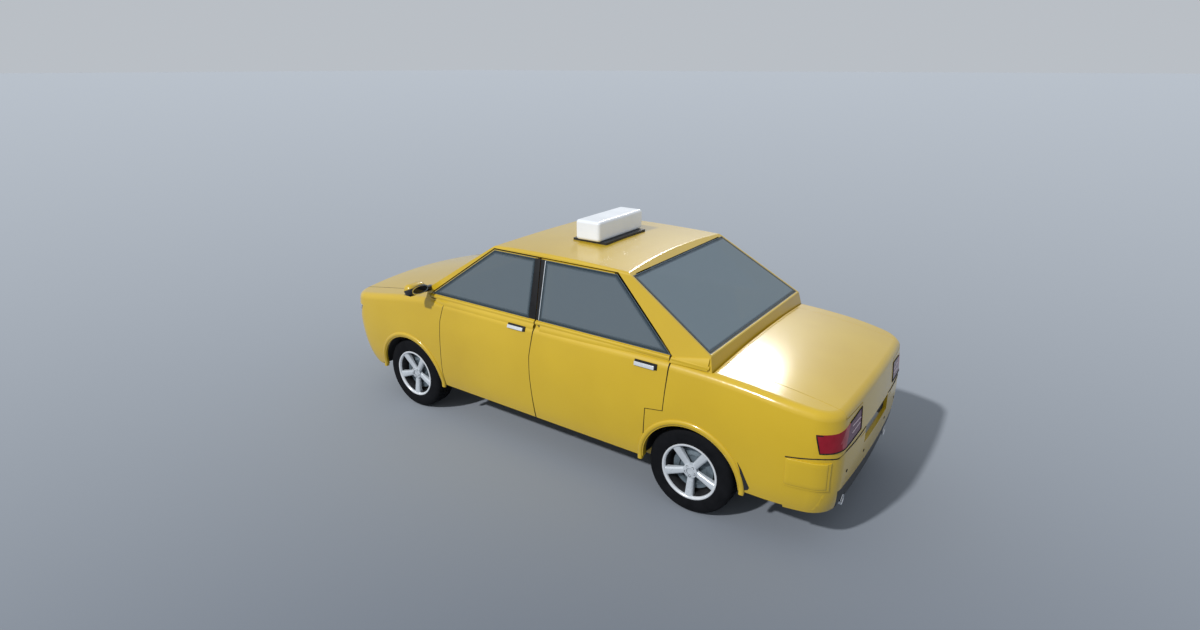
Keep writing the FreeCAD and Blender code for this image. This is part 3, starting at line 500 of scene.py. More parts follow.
def push_out(obj, test, by):
    """Extrude picked faces along a vector."""
    open_piece(obj)
    pick(obj, test)
    bpy.ops.mesh.extrude_region_move(TRANSFORM_OT_translate={"value": tuple(by)})
    close_piece()


def inset_faces(obj, test, thickness, depth=0.0):
    open_piece(obj)
    pick(obj, test)
    bpy.ops.mesh.inset(thickness=thickness, depth=depth)
    close_piece()


def solid_plate(points, facing, thickness):
    """An outline given a thickness behind its face."""
    obj = start_outline(points, facing)
    apply_modifier(obj, "SOLIDIFY", thickness=thickness, offset=-1.0)
    return obj


def spin_ring(profile, at, steps):
    """A closed profile of (radius, y) spun about the wheel axis through a point."""
    x, y, z = at
    points = [(x + r, y + w, z) for r, w in profile]
    obj = start_outline(points, (0, 0, 1))
    open_piece(obj, "FACE", True)
    bpy.ops.mesh.delete(type="ONLY_FACE")
    bpy.ops.mesh.select_mode(type="VERT")
    bpy.ops.mesh.select_all(action="SELECT")
    bpy.ops.mesh.spin(steps=steps, angle=2 * math.pi, center=at, axis=(0, 1, 0))
    close_piece()
    tidy_normals(obj)
    return obj


def join(pieces):
    clear_selection()
    for piece in pieces:
        piece.select_set(True)
    bpy.context.view_layer.objects.active = pieces[0]
    bpy.ops.object.join()
    return bpy.context.object


def copy_piece(obj, matrix, name):
    """A copy with its own mesh, carried by a matrix and turned right side out if the matrix mirrors it."""
    other = obj.copy()
    other.data = obj.data.copy()
    other.name = name
    other.data.name = name
    for key in list(other.keys()):
        del other[key]
    scene.collection.objects.link(other)
    other.data.transform(matrix)
    if matrix.determinant() < 0:
        other.data.flip_normals()
    return other


MIRROR_Y = Matrix.Scale(-1.0, 4, (0, 1, 0))
print("helpers ready")

# %% [markdown]
# ## Side glass
# A door's glass is bonded flush over its slim frame, so from outside the glass runs to the black rubber at
# its rim and the frame shows faintly through it. Each pane starts as its outline on the leaning side plane.
# The first inset makes the rubber rim, the second the pale band, and Solidify gives it a thickness.

# %% side panes
SIDE_Y, SIDE_Z, SIDE_LEAN = 0.815, 1.090, 0.23566
PANE_PROUD = 0.0012
RUBBER_RIM = 0.0080
PALE_RIM_BAND = 0.026
FRONT_PANE = [(0.112, 1.124), (0.112, 1.564), (0.529, 1.564), (1.158, 1.124)]
REAR_PANE = [(0.026, 1.124), (0.026, 1.564), (-0.603, 1.564), (-1.092, 1.124)]


def side_point(x, z, proud=PANE_PROUD):
    return (x, SIDE_Y - SIDE_LEAN * (z - SIDE_Z) + proud, z)


def bordered_pane(points, facing, thickness=0.0010):
    """Glass outline with a rubber rim in slot 1 and a border attribute that fades inwards."""
    obj = start_outline(points, facing)
    corners = len(points)
    open_piece(obj, "FACE", True)
    bpy.ops.mesh.inset(thickness=RUBBER_RIM)
    bpy.ops.mesh.inset(thickness=PALE_RIM_BAND)
    close_piece()
    for face in obj.data.polygons:
        face.material_index = 1 if min(face.vertices) < corners else 0
    layer = obj.data.attributes.new("border", "FLOAT", "POINT")
    for vertex in obj.data.vertices:
        layer.data[vertex.index].value = 1.0 if vertex.index < 2 * corners else 0.0
    apply_modifier(obj, "SOLIDIFY", thickness=thickness, offset=-1.0)
    return obj


for side in SIDES:
    for name, outline in (("front_door", FRONT_PANE), ("rear_door", REAR_PANE)):
        pane = bordered_pane([side_point(x, z) for x, z in outline], (0, 1, 0))
        if side == "right":
            mirrored = copy_piece(pane, MIRROR_Y, "pane")
            bpy.data.objects.remove(pane)
            pane = mirrored
        finish_piece(pane, side + "_" + name + "_pane", [side_glass, rubber], side + "_" + name,
                     [side + "_" + name + "_glass"], angle=20)
print("side panes", FRONT_PANE[0], REAR_PANE[0])

# %% [markdown]
# ## Windscreen and rear window
# Both end windows are flat sheets in leaning frames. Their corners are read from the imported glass, so the new
# sheet lies exactly in its rebate, a little nearer to the outside.

# %% end panes
def outer_corners(node, normal):
    """Corners of a flat packed pane on its outer side: low left, low right, high right, high left."""
    normal = Vector(normal).normalized()
    points = [v.co.copy() for v in nodes[node].data.vertices]
    top = max(p.dot(normal) for p in points)
    face = [p for p in points if p.dot(normal) > top - 0.0008]
    zs = sorted({round(p.z, 4) for p in face})
    low = [p for p in face if p.z < zs[0] + 0.01]
    high = [p for p in face if p.z > zs[-1] - 0.01]
    by_y = lambda p: p.y
    return [max(low, key=by_y), min(low, key=by_y), min(high, key=by_y), max(high, key=by_y)]


END_PROUD = 0.0035
for node, normal in (("rear_window", (-0.5134, 0.0, 0.8581)), ("windscreen", (0.538, 0.0, 0.843))):
    shift = Vector(normal).normalized() * END_PROUD
    corners = [p + shift for p in outer_corners(node, normal)]
    pane = bordered_pane(corners, normal, 0.004)
    finish_piece(pane, node + "_pane", [end_glass, rubber], "root", [node], angle=20)
    print(node, [[round(c, 3) for c in p] for p in corners])

# %% [markdown]
# ## Centre pillar covers
# Between the two side windows the doors carry black plastic covers. Each one is a narrow plate with rounded
# edges that follows the lean of the glass, and the rear one has a pale bright strip along its back edge.

# %% pillar covers
COVER_FRONT = [(0.0535, 1.127), (0.0715, 1.5655), (0.1200, 1.5655), (0.1200, 1.127)]
COVER_REAR = [(0.0262, 1.127), (0.0262, 1.5655), (0.0605, 1.5655), (0.0445, 1.127)]
STRIP_REAR = [(0.0205, 1.132), (0.0205, 1.560), (0.0262, 1.560), (0.0262, 1.132)]
COVER_PROUD = 0.0030

for side in SIDES:
    for name, outline, mat, proud in (("front_door", COVER_FRONT, rubber, COVER_PROUD),
                                      ("rear_door", COVER_REAR, rubber, COVER_PROUD),
                                      ("rear_door", STRIP_REAR, satin_silver, 0.0022)):
        cover = solid_plate([side_point(x, z, proud) for x, z in outline], (0, 1, 0), proud - 0.0002)
        round_edges(cover, 0.0009, 2)
        if side == "right":
            mirrored = copy_piece(cover, MIRROR_Y, "cover")
            bpy.data.objects.remove(cover)
            cover = mirrored
        kind = "_pillar_cover" if mat == rubber else "_pillar_strip"
        finish_piece(cover, side + "_" + name + kind, mat, side + "_" + name)
print("pillar covers at x", COVER_FRONT[0][0], COVER_REAR[0][0])

# %% [markdown]
# ## Shut lines
# Every door and lid closes on a seal that sits in its gap. The seals of the doors and the bonnet are black
# rubber set just under the skin, so their black also paints the shade of the gap; the boot lid's seals are in
# the body paint. The seal follows the rim of the imported panel: a copy of the panel is merged, the edges
# between its outer skin and its side faces are kept, moved half a gap outwards and a little inwards, and
# turned into a thin tube.

# %% shut line seals
SEAL_R = 0.0032
SEAL_OUT = 0.0030
SEAL_SUNK = 0.0024


def rim_tube(name, source, outward, keep, body, radius=SEAL_R, out=SEAL_OUT, sunk=SEAL_SUNK, mat=rubber):
    """Rubber tube along the kept rim edges of a packed panel."""
    outward = Vector(outward).normalized()
    obj = bpy.data.objects.new(name, nodes[source].data.copy())
    scene.collection.objects.link(obj)
    open_piece(obj, "VERT", True)
    bpy.ops.mesh.remove_doubles(threshold=0.00002)
    mesh = bmesh.from_edit_mesh(obj.data)
    mesh.normal_update()
    moves, rim = {}, set()
    for edge in mesh.edges:
        if len(edge.link_faces) != 2:
            continue
        skin, wall = sorted(edge.link_faces, key=lambda f: -f.normal.dot(outward))
        if skin.normal.dot(outward) < 0.5 or wall.normal.dot(outward) > 0.45:
            continue
        if skin.normal.dot(wall.normal) > 0.5:
            continue
        middle = (edge.verts[0].co + edge.verts[1].co) / 2
        if not keep(middle, wall.normal):
            continue
        rim.add(edge)
        for vertex in edge.verts:
            moves.setdefault(vertex, []).append(wall.normal * out - skin.normal * sunk)
    bmesh.ops.delete(mesh, geom=[e for e in mesh.edges if e not in rim], context="EDGES")
    bmesh.ops.delete(mesh, geom=[v for v in mesh.verts if not v.link_edges], context="VERTS")
    for vertex, steps in moves.items():
        vertex.co += sum(steps, Vector()) / len(steps)
    bmesh.update_edit_mesh(obj.data)
    count = len(mesh.edges)
    close_piece()
    bpy.ops.object.convert(target="CURVE")
    obj = bpy.context.object
    obj.data.bevel_depth = radius
    obj.data.bevel_resolution = 1
    bpy.ops.object.convert(target="MESH")
    obj = bpy.context.object
    finish_piece(obj, name, mat, body, angle=60)
    print(name, "edges", count)
    return obj



# The door seals are rubber set just under the skin, so their black also paints the shade of the door gaps.
for side, sign in (("left", 1.0), ("right", -1.0)):
    out = (0.0, sign, 0.35)
    rim_tube(side + "_front_door_seal", side + "_front_door", out, lambda c, n: n.x > -0.3 and n.z > -0.6
             and c.x > 0.3,
             side + "_front_door")
    rim_tube(side + "_rear_door_seal", side + "_rear_door", out, lambda c, n: abs(n.z) < 0.99
             and (n.x < 0.9 or c.z < 1.60),
             side + "_rear_door")
LID_UP = (-0.3, 0.0, 1.0)
rim_tube("boot_lid_seal", "boot_lid", LID_UP, lambda c, n: c.z > 0.93, "boot_lid", 0.0034, 0.0030, 0.0030,
         paint)
rim_tube("boot_lid_face_seal", "boot_lid", (-1.0, 0.0, 0.15), lambda c, n: c.z < 0.95 and abs(n.y) > 0.5,
         "boot_lid",
         0.0034, 0.0030, 0.0030, paint)
# The bonnet's rubber seal likewise paints the shade of its gap.
rim_tube("bonnet_seal_and_gap_shade", "bonnet", (0.3, 0.0, 1.0), lambda c, n: c.z > 0.9, "bonnet")

# %% [markdown]
# ## Tyres
# A road tyre has a rounded shoulder, three grooves round the tread and short cuts across it that make the
# blocks. The profile of one tyre is drawn once as (radius, sideways) points and spun about the axle. The cuts
# are insets pushed a few millimetres inwards on every third step of the spin.

# %% tyres
AXLE_Z = 0.317
WHEEL_Y = 0.735
TREAD_STEPS = 120
HALF_TYRE = [(0.204, 0.084), (0.2105, 0.0925), (0.218, 0.0955), (0.226, 0.0945), (0.232, 0.0962),
             (0.262, 0.0968),
             (0.282, 0.0945), (0.296, 0.0900), (0.306, 0.0830), (0.3130, 0.0735), (0.3162, 0.0620),
             (0.3168, 0.0440),
             (0.3095, 0.0425), (0.3095, 0.0345), (0.3169, 0.0330), (0.3170, 0.0050), (0.3095, 0.0038)]
TYRE_RING = HALF_TYRE + [(r, -w) for r, w in reversed(HALF_TYRE)]
WHEELS = [(side + "_" + end, x) for side in SIDES for end, x in (("front", 1.470), ("rear", -1.275))]


def radius_of(point, centre):
    return math.hypot(point.x - centre[0], point.z - centre[2])


hub_at = (0.0, 0.0, 0.0)
tyre = spin_ring(TYRE_RING, hub_at, TREAD_STEPS)
open_piece(tyre)
mesh = bmesh.from_edit_mesh(tyre.data)
for face in mesh.faces:
    middle = face.calc_center_median()
    step = int((math.degrees(math.atan2(middle.z, middle.x)) % 360.0) / (360.0 / TREAD_STEPS))
    shoulder = 0.044 < abs(middle.y) < 0.073 and radius_of(middle, hub_at) > 0.312
    rib = 0.005 < abs(middle.y) < 0.033 and radius_of(middle, hub_at) > 0.314
    face.select_set((shoulder and step % 3 == 0) or (rib and step % 3 == (1 if middle.y > 0 else 2)))
mesh.select_flush_mode()
bmesh.update_edit_mesh(tyre.data)
bpy.ops.mesh.inset(thickness=0.0042, depth=-0.0055, use_individual=True)
close_piece()
print("tyre faces", len(tyre.data.polygons))

# %% [markdown]
# ## Rims
# The rim has a polished outer ring, five broad rounded spokes that dish in to a flat hub, and five bolt
# sockets. One spoke is shaped from a block and copied round the hub. Between the spokes the brake disc
# shows, and inside the polished lip the barrel is black.

# %% rim barrel and hub
BARREL_RING = [(0.2035, -0.084), (0.1850, -0.084), (0.1800, -0.060), (0.1760, 0.000), (0.1840, 0.055),
               (0.1872, 0.078),
               (0.1888, 0.0880), (0.1925, 0.0935), (0.1975, 0.0962), (0.2020, 0.0966), (0.2058, 0.0955),
               (0.2074, 0.0925),
               (0.2060, 0.0890), (0.2035, 0.0840)]
barrel = spin_ring(BARREL_RING, hub_at, 72)
for face in barrel.data.polygons:
    bright = radius_of(face.center, hub_at) > 0.1865 and face.center.y > 0.074
    face.material_index = 0 if bright else 1
for mat in (bright_alloy, plastic):
    barrel.data.materials.append(mat)

SPOKES = 5
SPOKE_SECTIONS = [(0.016, 0.0270, 0.0700), (0.060, 0.0255, 0.0730), (0.100, 0.0270, 0.0790),
                  (0.140, 0.0285, 0.0850),
                  (0.170, 0.0300, 0.0885), (0.1895, 0.0335, 0.0890)]
SPOKE_BACK = 0.052


def spoke_blank():
    """Block with six cross-sections along the radius: half width and outer face by section."""
    low, high = SPOKE_SECTIONS[0][0], SPOKE_SECTIONS[-1][0]
    obj = start_block((-1.0, 0.0, -high), (1.0, 1.0, -low))
    for reach, _, _ in SPOKE_SECTIONS[1:-1]:
        open_piece(obj, "FACE", True)
        bpy.ops.mesh.bisect(plane_co=(0, 0, -reach), plane_no=(0, 0, 1))
        close_piece()
    for vertex in obj.data.vertices:
        reach, half, front = min(SPOKE_SECTIONS, key=lambda s: abs(s[0] + vertex.co.z))
        vertex.co.x *= half
        vertex.co.y = front if vertex.co.y > 0.5 else SPOKE_BACK
    obj.data.update()
    open_piece(obj, "EDGE")
    pick_edges(obj, lambda a, b: min(a.y, b.y) > 0.068 and abs(a.x - b.x) < 0.006 and abs(a.z - b.z) > 0.01)
    bpy.ops.mesh.bevel(offset=0.0190, segments=6, profile=0.5)
    close_piece()
    return obj


blank = spoke_blank()
spokes = [blank]
for index in range(1, SPOKES):
    spokes.append(copy_piece(blank, Matrix.Rotation(index * 2 * math.pi / SPOKES, 4, "Y"), "spoke"))
print("spoke faces", len(blank.data.polygons))

# %% hub, sockets and brake disc
HUB_RADIUS = 0.0520
HUB_FRONT = 0.0760
SOCKET_CIRCLE = 0.0350
SOCKET_RADIUS = 0.0095

hub = start_rod((0, 0.045, 0), (0, 1, 0), HUB_RADIUS, HUB_FRONT - 0.045, 60)
inset_faces(hub, lambda c, n: n.y > 0.9, 0.006, 0.0012)
inset_faces(hub, lambda c, n: n.y > 0.9 and c.y > HUB_FRONT, 0.028)
inset_faces(hub, lambda c, n: n.y > 0.9 and c.length < HUB_FRONT + 0.003 and abs(c.x) < 0.001, 0.003,
            -0.0015)
sockets = []
for index in range(SPOKES):
    turn = math.radians(36 + 90) + index * 2 * math.pi / SPOKES
    place = (SOCKET_CIRCLE * math.cos(turn), HUB_FRONT - 0.006, SOCKET_CIRCLE * math.sin(turn))
    socket = start_rod(place, (0, 1, 0), SOCKET_RADIUS, 0.0100, 20)
    inset_faces(socket, lambda c, n: n.y > 0.9, 0.0022)
    inset_faces(socket, lambda c, n: n.y > 0.9 and (c - Vector((place[0], c.y, place[2]))).length < 0.0005,
                0.0004, -0.006)
    socket.data.materials.append(plastic)
    sockets.append(socket)

disc = start_rod((0, 0.003, 0), (0, 1, 0), 0.1560, 0.013, 72)
inset_faces(disc, lambda c, n: n.y > 0.9, 0.003, 0.0012)
inset_faces(disc, lambda c, n: n.y > 0.9 and c.y > 0.0165, 0.058)
inset_faces(disc, lambda c, n: n.y > 0.9 and c.length < 0.05, 0.002, 0.010)
disc.data.materials.append(disc_steel)
for piece in spokes + [hub]:
    piece.data.materials.append(alloy)
rim = join([barrel] + spokes + [hub] + sockets + [disc])
print("rim faces", len(rim.data.polygons), "materials", [m.name for m in rim.data.materials])

# %% place the wheels
rim_mats = list(rim.data.materials)
for name, x in WHEELS:
    sign = 1.0 if name.startswith("left") else -1.0
    place = Matrix.Translation((x, sign * WHEEL_Y, AXLE_Z)) @ Matrix.Scale(sign, 4, (0, 1, 0))
    body = name + "_wheel"
    finish_piece(copy_piece(tyre, place, "tyre"), name + "_tyre_tread", tyre_rubber, body,
                 [name + "_tyre"], angle=32)
    wheel_rim = copy_piece(rim, place, "rim")
    indices = [p.material_index for p in wheel_rim.data.polygons]
    finish_piece(wheel_rim, name + "_spoked_rim", rim_mats, body, [name + "_rim"], angle=38)
    for face, index in zip(wheel_rim.data.polygons, indices):
        face.material_index = index
for piece in (tyre, rim):
    bpy.data.objects.remove(piece)
print("wheels", len(WHEELS))

# %% [markdown]
# ## Points on the skin
# Handles, lamps and lines lie on curved panels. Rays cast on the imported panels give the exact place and
# slope of the skin, so a small piece can be built flat and carried there, and a thin line can follow it.

# %% skin helpers
FAR = 4.0
SIDE_CAST = (Vector((0, FAR, 0)), Vector((0, -1, 0)), Vector((1, 0, 0)))
REAR_CAST = (Vector((-FAR, 0, 0)), Vector((1, 0, 0)), Vector((0, 1, 0)))
FRONT_CAST = (Vector((FAR, 0, 0)), Vector((-1, 0, 0)), Vector((0, -1, 0)))
TOP_CAST = (Vector((0, 0, FAR)), Vector((0, 0, -1)), Vector((1, 0, 0)))


skin_trees = {}


def skin(at, cast, names):
    """Nearest hit on the named panels along a cast: the place and its normal."""
    start, toward, _ = cast
    keep = Vector([0.0 if abs(t) > 0.5 else 1.0 for t in toward])
    origin = Vector(at) * keep + start
    hits = []
    for name in names:
        if name not in skin_trees:
            data = nodes[name].data
            skin_trees[name] = BVHTree.FromPolygons([v.co for v in data.vertices],
                                                    [p.vertices for p in data.polygons])
        place, normal, _, distance = skin_trees[name].ray_cast(origin, toward)
        if place is not None:
            hits.append((distance, place, normal))
    if not hits:
        return None
    _, place, normal = min(hits, key=lambda h: h[0])
    return place.copy(), normal.copy()


def skin_place(at, cast, names, proud=0.0):
    """Matrix that carries local x along the panel, local y out of it and local z up it."""
    place, normal = skin(at, cast, names)
    along = cast[2]
    along = (along - normal * along.dot(normal)).normalized()
    rise = along.cross(normal)
    turn = Matrix((along, normal, rise)).transposed().to_4x4()
    return Matrix.Translation(place + normal * proud) @ turn


def skin_line(points, cast, names, proud=0.0, step=0.02):
    """Points every step along a broken line, dropped on the skin."""
    line = []
    for a, b in zip(points, points[1:]):
        a, b = Vector(a), Vector(b)
        count = max(1, round((b - a).length / step))
        line += [a.lerp(b, i / count) for i in range(count)]
    line.append(Vector(points[-1]))
    placed = [skin(p, cast, names) for p in line]
    return [p + n * proud for p, n in placed]


def tube(points, radius, resolution=1):
    """A thin rod through points: a path primitive with its points replaced, given a round section."""
    clear_selection()
    bpy.ops.curve.primitive_nurbs_path_add(location=ORIGIN)
    obj = bpy.context.object
    obj.data.splines.clear()
    spline = obj.data.splines.new("POLY")
    spline.points.add(len(points) - 1)
    for place, point in zip(points, spline.points):
        point.co = (*place, 1.0)
    obj.data.bevel_depth = radius
    obj.data.bevel_resolution = resolution
    obj.data.use_fill_caps = True
    bpy.ops.object.convert(target="MESH")
    return bpy.context.object


def both_sides(obj, name, mats, body, stands_for=(), angle=35.0):
    """Finish a left piece and its mirrored right twin; {} in a name or a body is the side."""
    indices = [p.material_index for p in obj.data.polygons]
    twin = copy_piece(obj, MIRROR_Y, "twin")
    for piece, side in ((obj, "left"), (twin, "right")):
        finish_piece(piece, name.format(side), mats, body.format(side),
                     [n.format(side) for n in stands_for], angle)
        for face, index in zip(piece.data.polygons, indices):
            face.material_index = index


print("skin helpers ready")

# %% [markdown]
# ## Door handles
# A flush handle is a silver grip across the lower front part of a black cup, which paints the shade of the
# handle's recess. The grip is a block with bevelled edges and the cup is a thin block. Both are built flat at
# the middle and carried to the door skin.

# %% handles
HANDLES = (("front_door", 0.2090, 1.0450, 0.170, 0.040), ("rear_door", -0.9300, 1.0320, 0.174, 0.042))
for door, x, z, width, height in HANDLES:
    place = skin_place((x, 0, z), SIDE_CAST, ["left_" + door])
    # The black cup is painted shade of the handle's recess.
    cup = start_block((-width / 2, -0.008, -height / 2), (width / 2, 0.0060, height / 2))
    round_edges(cup, 0.0025, 2)
    cup.data.transform(place)
    grip = start_block((-width / 2 + 0.020, 0.0010, -height / 2 - 0.001),
                       (width / 2 + 0.001, 0.0120, height / 2 - 0.0150))
    open_piece(grip, "EDGE")
    pick_edges(grip, lambda a, b: min(a.y, b.y) > 0.0115)
    bpy.ops.mesh.bevel(offset=0.0040, segments=4, profile=0.6)
    close_piece()
    grip.data.transform(place)
    both_sides(cup, "{}_" + door + "_handle_recess_shade", rubber, "{}_" + door)
    both_sides(grip, "{}_" + door + "_handle_grip", satin_silver, "{}_" + door)
print("handles", len(HANDLES) * 2)

# %% [markdown]
# ## Door mirrors
# The mirror is a rounded shell split by a slanting line: painted cap above, black base below. Its rear face
# carries an oval chrome ring round black glass, a painted highlight along the glass's rim, and a black foot
# reaches the foot of the windscreen pillar.

# %% mirrors
MIRROR_LOW, MIRROR_HIGH = (1.163, 0.850, 1.138), (1.269, 1.034, 1.239)
MIRROR_MID = Vector((1.215, 0.942, 1.186))
RING_X, RING_CENTRE, RING_AXES = 1.1595, (0.932, 1.188), (0.084, 0.0385)

shell = start_block(MIRROR_LOW, MIRROR_HIGH)
round_edges(shell, 0.046, 7)
open_piece(shell, "FACE", True)
bpy.ops.mesh.bisect(plane_co=(1.215, 0.942, 1.196), plane_no=(0.42, 0.0, 1.0))
close_piece()
cap_up = Vector((0.42, 0.0, 1.0))
give_slot(shell, lambda c, n: (c - Vector((1.215, 0.942, 1.196))).dot(cap_up) > 0, 1)

ring_points = [(RING_X, RING_CENTRE[0] + RING_AXES[0] * math.cos(t),
                RING_CENTRE[1] + RING_AXES[1] * math.sin(t))
               for t in [i * 2 * math.pi / 48 for i in range(48)]]
ring = start_outline(ring_points, (-1, 0, 0))
apply_modifier(ring, "SOLIDIFY", thickness=0.009, offset=-1.0)
inset_faces(ring, lambda c, n: n.x < -0.9, 0.0045, 0.0)
inset_faces(ring, lambda c, n: n.x < -0.9 and abs(c.y - RING_CENTRE[0]) < 0.001, 0.0055, -0.0010)
inset_faces(ring, lambda c, n: n.x < -0.9 and abs(c.y - RING_CENTRE[0]) < 0.001, 0.0015, 0.003)
centre = Vector((0, RING_CENTRE[0], RING_CENTRE[1]))


def ring_share(point):
    return math.hypot((point.y - centre.y) / RING_AXES[0], (point.z - centre.z) / RING_AXES[1])


# The chrome band round the glass is a painted highlight along the rim of the mirror glass.
give_slot(ring, lambda c, n: n.x < -0.5 and 0.80 < ring_share(c) < 0.97, 2)
give_slot(ring, lambda c, n: ring_share(c) <= 0.80, 3)

for piece in (shell, ring):
    for mat in (plastic, paint, chrome, mirror_glass):
        piece.data.materials.append(mat)
foot = start_block((1.176, 0.764, 1.142), (1.232, 0.880, 1.180))
round_edges(foot, 0.010, 3)
slit = start_block((1.180, 0.846, 1.1465), (1.262, 1.020, 1.1485))
mirror_piece = join([shell, ring, foot, slit])
both_sides(mirror_piece, "{}_mirror_shell", [plastic, paint, chrome, mirror_glass], "root",
           ["{}_door_mirror"], 40)
print("mirrors", MIRROR_MID[:])

# %% [markdown]
# ## Rear bumper line and the arch wedges
# A black rubber tube runs along the top of the rear bumper and round the corner under the lamp: it paints the
# shade of the gap there. Behind the lip of the rear arch the wheel liner shows as a slim black wedge.

# %% bumper line and wedges
GAP_LINE = [(-1.925, 0.864, 0.690), (-2.011, 0.851, 0.701), (-2.070, 0.837, 0.710), (-2.109, 0.825, 0.716),
            (-2.145, 0.803, 0.716),
            (-2.176, 0.775, 0.713), (-2.201, 0.739, 0.708), (-2.215, 0.695, 0.716), (-2.223, 0.651, 0.725),
            (-2.229, 0.575, 0.723),
            (-2.233, 0.503, 0.721), (-2.239, 0.360, 0.726), (-2.240, 0.290, 0.732)]
REAR_WEDGE = [(-1.626, 0.863, 0.542), (-1.657, 0.858, 0.492), (-1.686, 0.849, 0.424),
              (-1.710, 0.839, 0.369), (-1.699, 0.834, 0.347),
              (-1.671, 0.830, 0.330), (-1.658, 0.847, 0.413), (-1.644, 0.857, 0.487)]

# The black tube is painted shade of the gap above the bumper.
both_sides(tube(GAP_LINE, 0.0042), "{}_rear_bumper_gap", rubber, "root", angle=60)
wedge = solid_plate([(x, y + 0.0018, z) for x, y, z in REAR_WEDGE], (0, 1, 0), 0.006)
both_sides(wedge, "{}_rear_arch_wedge", plastic, "root")
print("gap line points", len(GAP_LINE))

# %% [markdown]
# ## Arch rings and belt mouldings
# Each wheel arch carries a rounded painted ring that stands proud of the panel. Below the side windows a
# painted moulding makes the belt: it rises upright from the shoulder and turns in to the glass, and behind
# the rear door it widens to the corner of the rear window. Both are grid primitives: their columns follow the
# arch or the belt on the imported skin, and their rows are the points of one cross-section.

# %% arch rings
ARCH_SKIN = ["left_body_side", "left_front_wing", "left_front_door", "left_rear_door", "front_bumper"]
RING_PROFILE = [(0.3640, -0.016), (0.3645, 0.004), (0.3680, 0.0095), (0.3760, 0.0125), (0.3870, 0.0120),
                (0.3960, 0.0085), (0.4005, 0.0025),
                (0.4010, -0.006)]
RING_STEPS = 56
RING_START_DEG, RING_SWEEP_DEG = -3, 186
RING_CASTS = (0.388, 0.400, 0.415)
RING_LOWEST = 0.345


def swept_grid(columns, rows, place):
    """A grid primitive whose corner (i, j) is carried to place(i, j), turned to face outwards."""
    clear_selection()
    bpy.ops.mesh.primitive_grid_add(x_subdivisions=columns - 1, y_subdivisions=rows - 1, size=1.0,
                                    location=ORIGIN)
    obj = bpy.context.object
    for vertex in obj.data.vertices:
        vertex.co = place(round((vertex.co.x + 0.5) * (columns - 1)),
                          round((vertex.co.y + 0.5) * (rows - 1)))
    obj.data.update()
    if sum(p.normal.y * p.area for p in obj.data.polygons) < 0:
        obj.data.flip_normals()
    return obj


def arch_skin(axle_x):
    """Angle and skin y at each step round an arch; in a panel gap a step takes its neighbour's y."""
    steps = []
    for i in range(RING_STEPS + 1):
        turn = math.radians(RING_START_DEG + RING_SWEEP_DEG * i / RING_STEPS)
        hits = [skin((axle_x + r * math.cos(turn), 0, max(RING_LOWEST, AXLE_Z + r * math.sin(turn))),
                     SIDE_CAST, ARCH_SKIN)
                for r in RING_CASTS]
        places = [hit[0].y for hit in hits if hit]
        steps.append([turn, places[0] if places else None])
    known = [y for _, y in steps if y is not None]
    for i, step in enumerate(steps):
        if step[1] is None:
            step[1] = steps[i - 1][1] if i else known[0]
    return steps


for end, axle_x in (("front", 1.470), ("rear", -1.275)):
    skin_at = arch_skin(axle_x)

    def ring_point(i, j):
        turn, y = skin_at[i]
        radius, proud = RING_PROFILE[j]
        return (axle_x + radius * math.cos(turn), y + proud, AXLE_Z + radius * math.sin(turn))

    ring_piece = swept_grid(RING_STEPS + 1, len(RING_PROFILE), ring_point)
    apply_modifier(ring_piece, "SOLIDIFY", thickness=0.004, offset=-1.0)
    both_sides(ring_piece, "{}_" + end + "_arch_ring", paint, "root", angle=60)
print("arch rings", RING_PROFILE[3])

# %% belt mouldings
BELT_SKIN = ["left_front_door", "left_rear_door", "left_body_side"]
BELT_TOP = 1.1175


def belt_skin(x, z, names):
    """Skin y beside the belt; in a panel gap the cast is tried again a little lower or to one side."""
    for lower in (0.0, 0.006, 0.015, 0.030):
        for shift in (0.0, -0.012, 0.012, -0.030):
            hit = skin((x + shift, 0, z - lower), SIDE_CAST, names)
            if hit:
                return hit[0].y
    return SIDE_Y + 0.020


def crease_height(x):
    """Where the moulding stands on the shoulder: level along the front door, rising to the rear."""
    return 1.057 + 0.024 * max(0.0, min(1.0, (0.0 - x) / 0.90)) ** 1.5


def belt(x0, x1, name, body, columns=24):
    def place(i, j):
        x = x0 + (x1 - x0) * i / (columns - 1)
        z = crease_height(x)
        y = belt_skin(x, z, BELT_SKIN)
        rows = [(y - 0.010, z - 0.004), (y + 0.0012, z - 0.002), (y + 0.0006, z + 0.012),
                (y - 0.0035, z + 0.026),
                (side_point(x, BELT_TOP)[1] + 0.0065, BELT_TOP - 0.010),
                (side_point(x, BELT_TOP)[1] + 0.0005, BELT_TOP)]
        return (x, *rows[j])
    piece = swept_grid(columns, 6, place)
    apply_modifier(piece, "SOLIDIFY", thickness=0.003, offset=-1.0)
    both_sides(piece, "{}_" + name + "_belt_moulding", paint, body, angle=50)


belt(1.100, 0.0560, "front_door", "{}_front_door")
belt(0.0440, -1.085, "rear_door", "{}_rear_door")


def quarter_point(i, j):
    share = i / 7
    x = -1.098 - 0.269 * share
    low, high = 1.0805 + 0.0055 * share, 1.116 + 0.053 * share
    y = belt_skin(x, low, ["left_body_side"])
    top_y = side_point(x, high)[1]
    rows = [(y - 0.012, low - 0.006), (max(y, top_y) + 0.010, low),
            (max(y, top_y) + 0.009, low + 0.3 * (high - low)),
            (top_y + 0.008, high - 0.006), (top_y + 0.001, high), (top_y - 0.010, high)]
    return (x, *rows[j])


quarter_piece = swept_grid(8, 6, quarter_point)
apply_modifier(quarter_piece, "SOLIDIFY", thickness=0.004, offset=-1.0)
both_sides(quarter_piece, "{}_quarter_moulding", paint, "root", angle=40)
print("belt mouldings up to z", BELT_TOP)

# %% [markdown]
# ## Rear corner pads and the valance ends
# The bumper's corners carry a raised painted pad, and below it the paint runs round the corner to a slanting
# edge where the black valance starts. The pad is a grid primitive dropped on the skin and given a thickness;
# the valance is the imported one, merged and cut along that slanting edge, with paint beyond it.

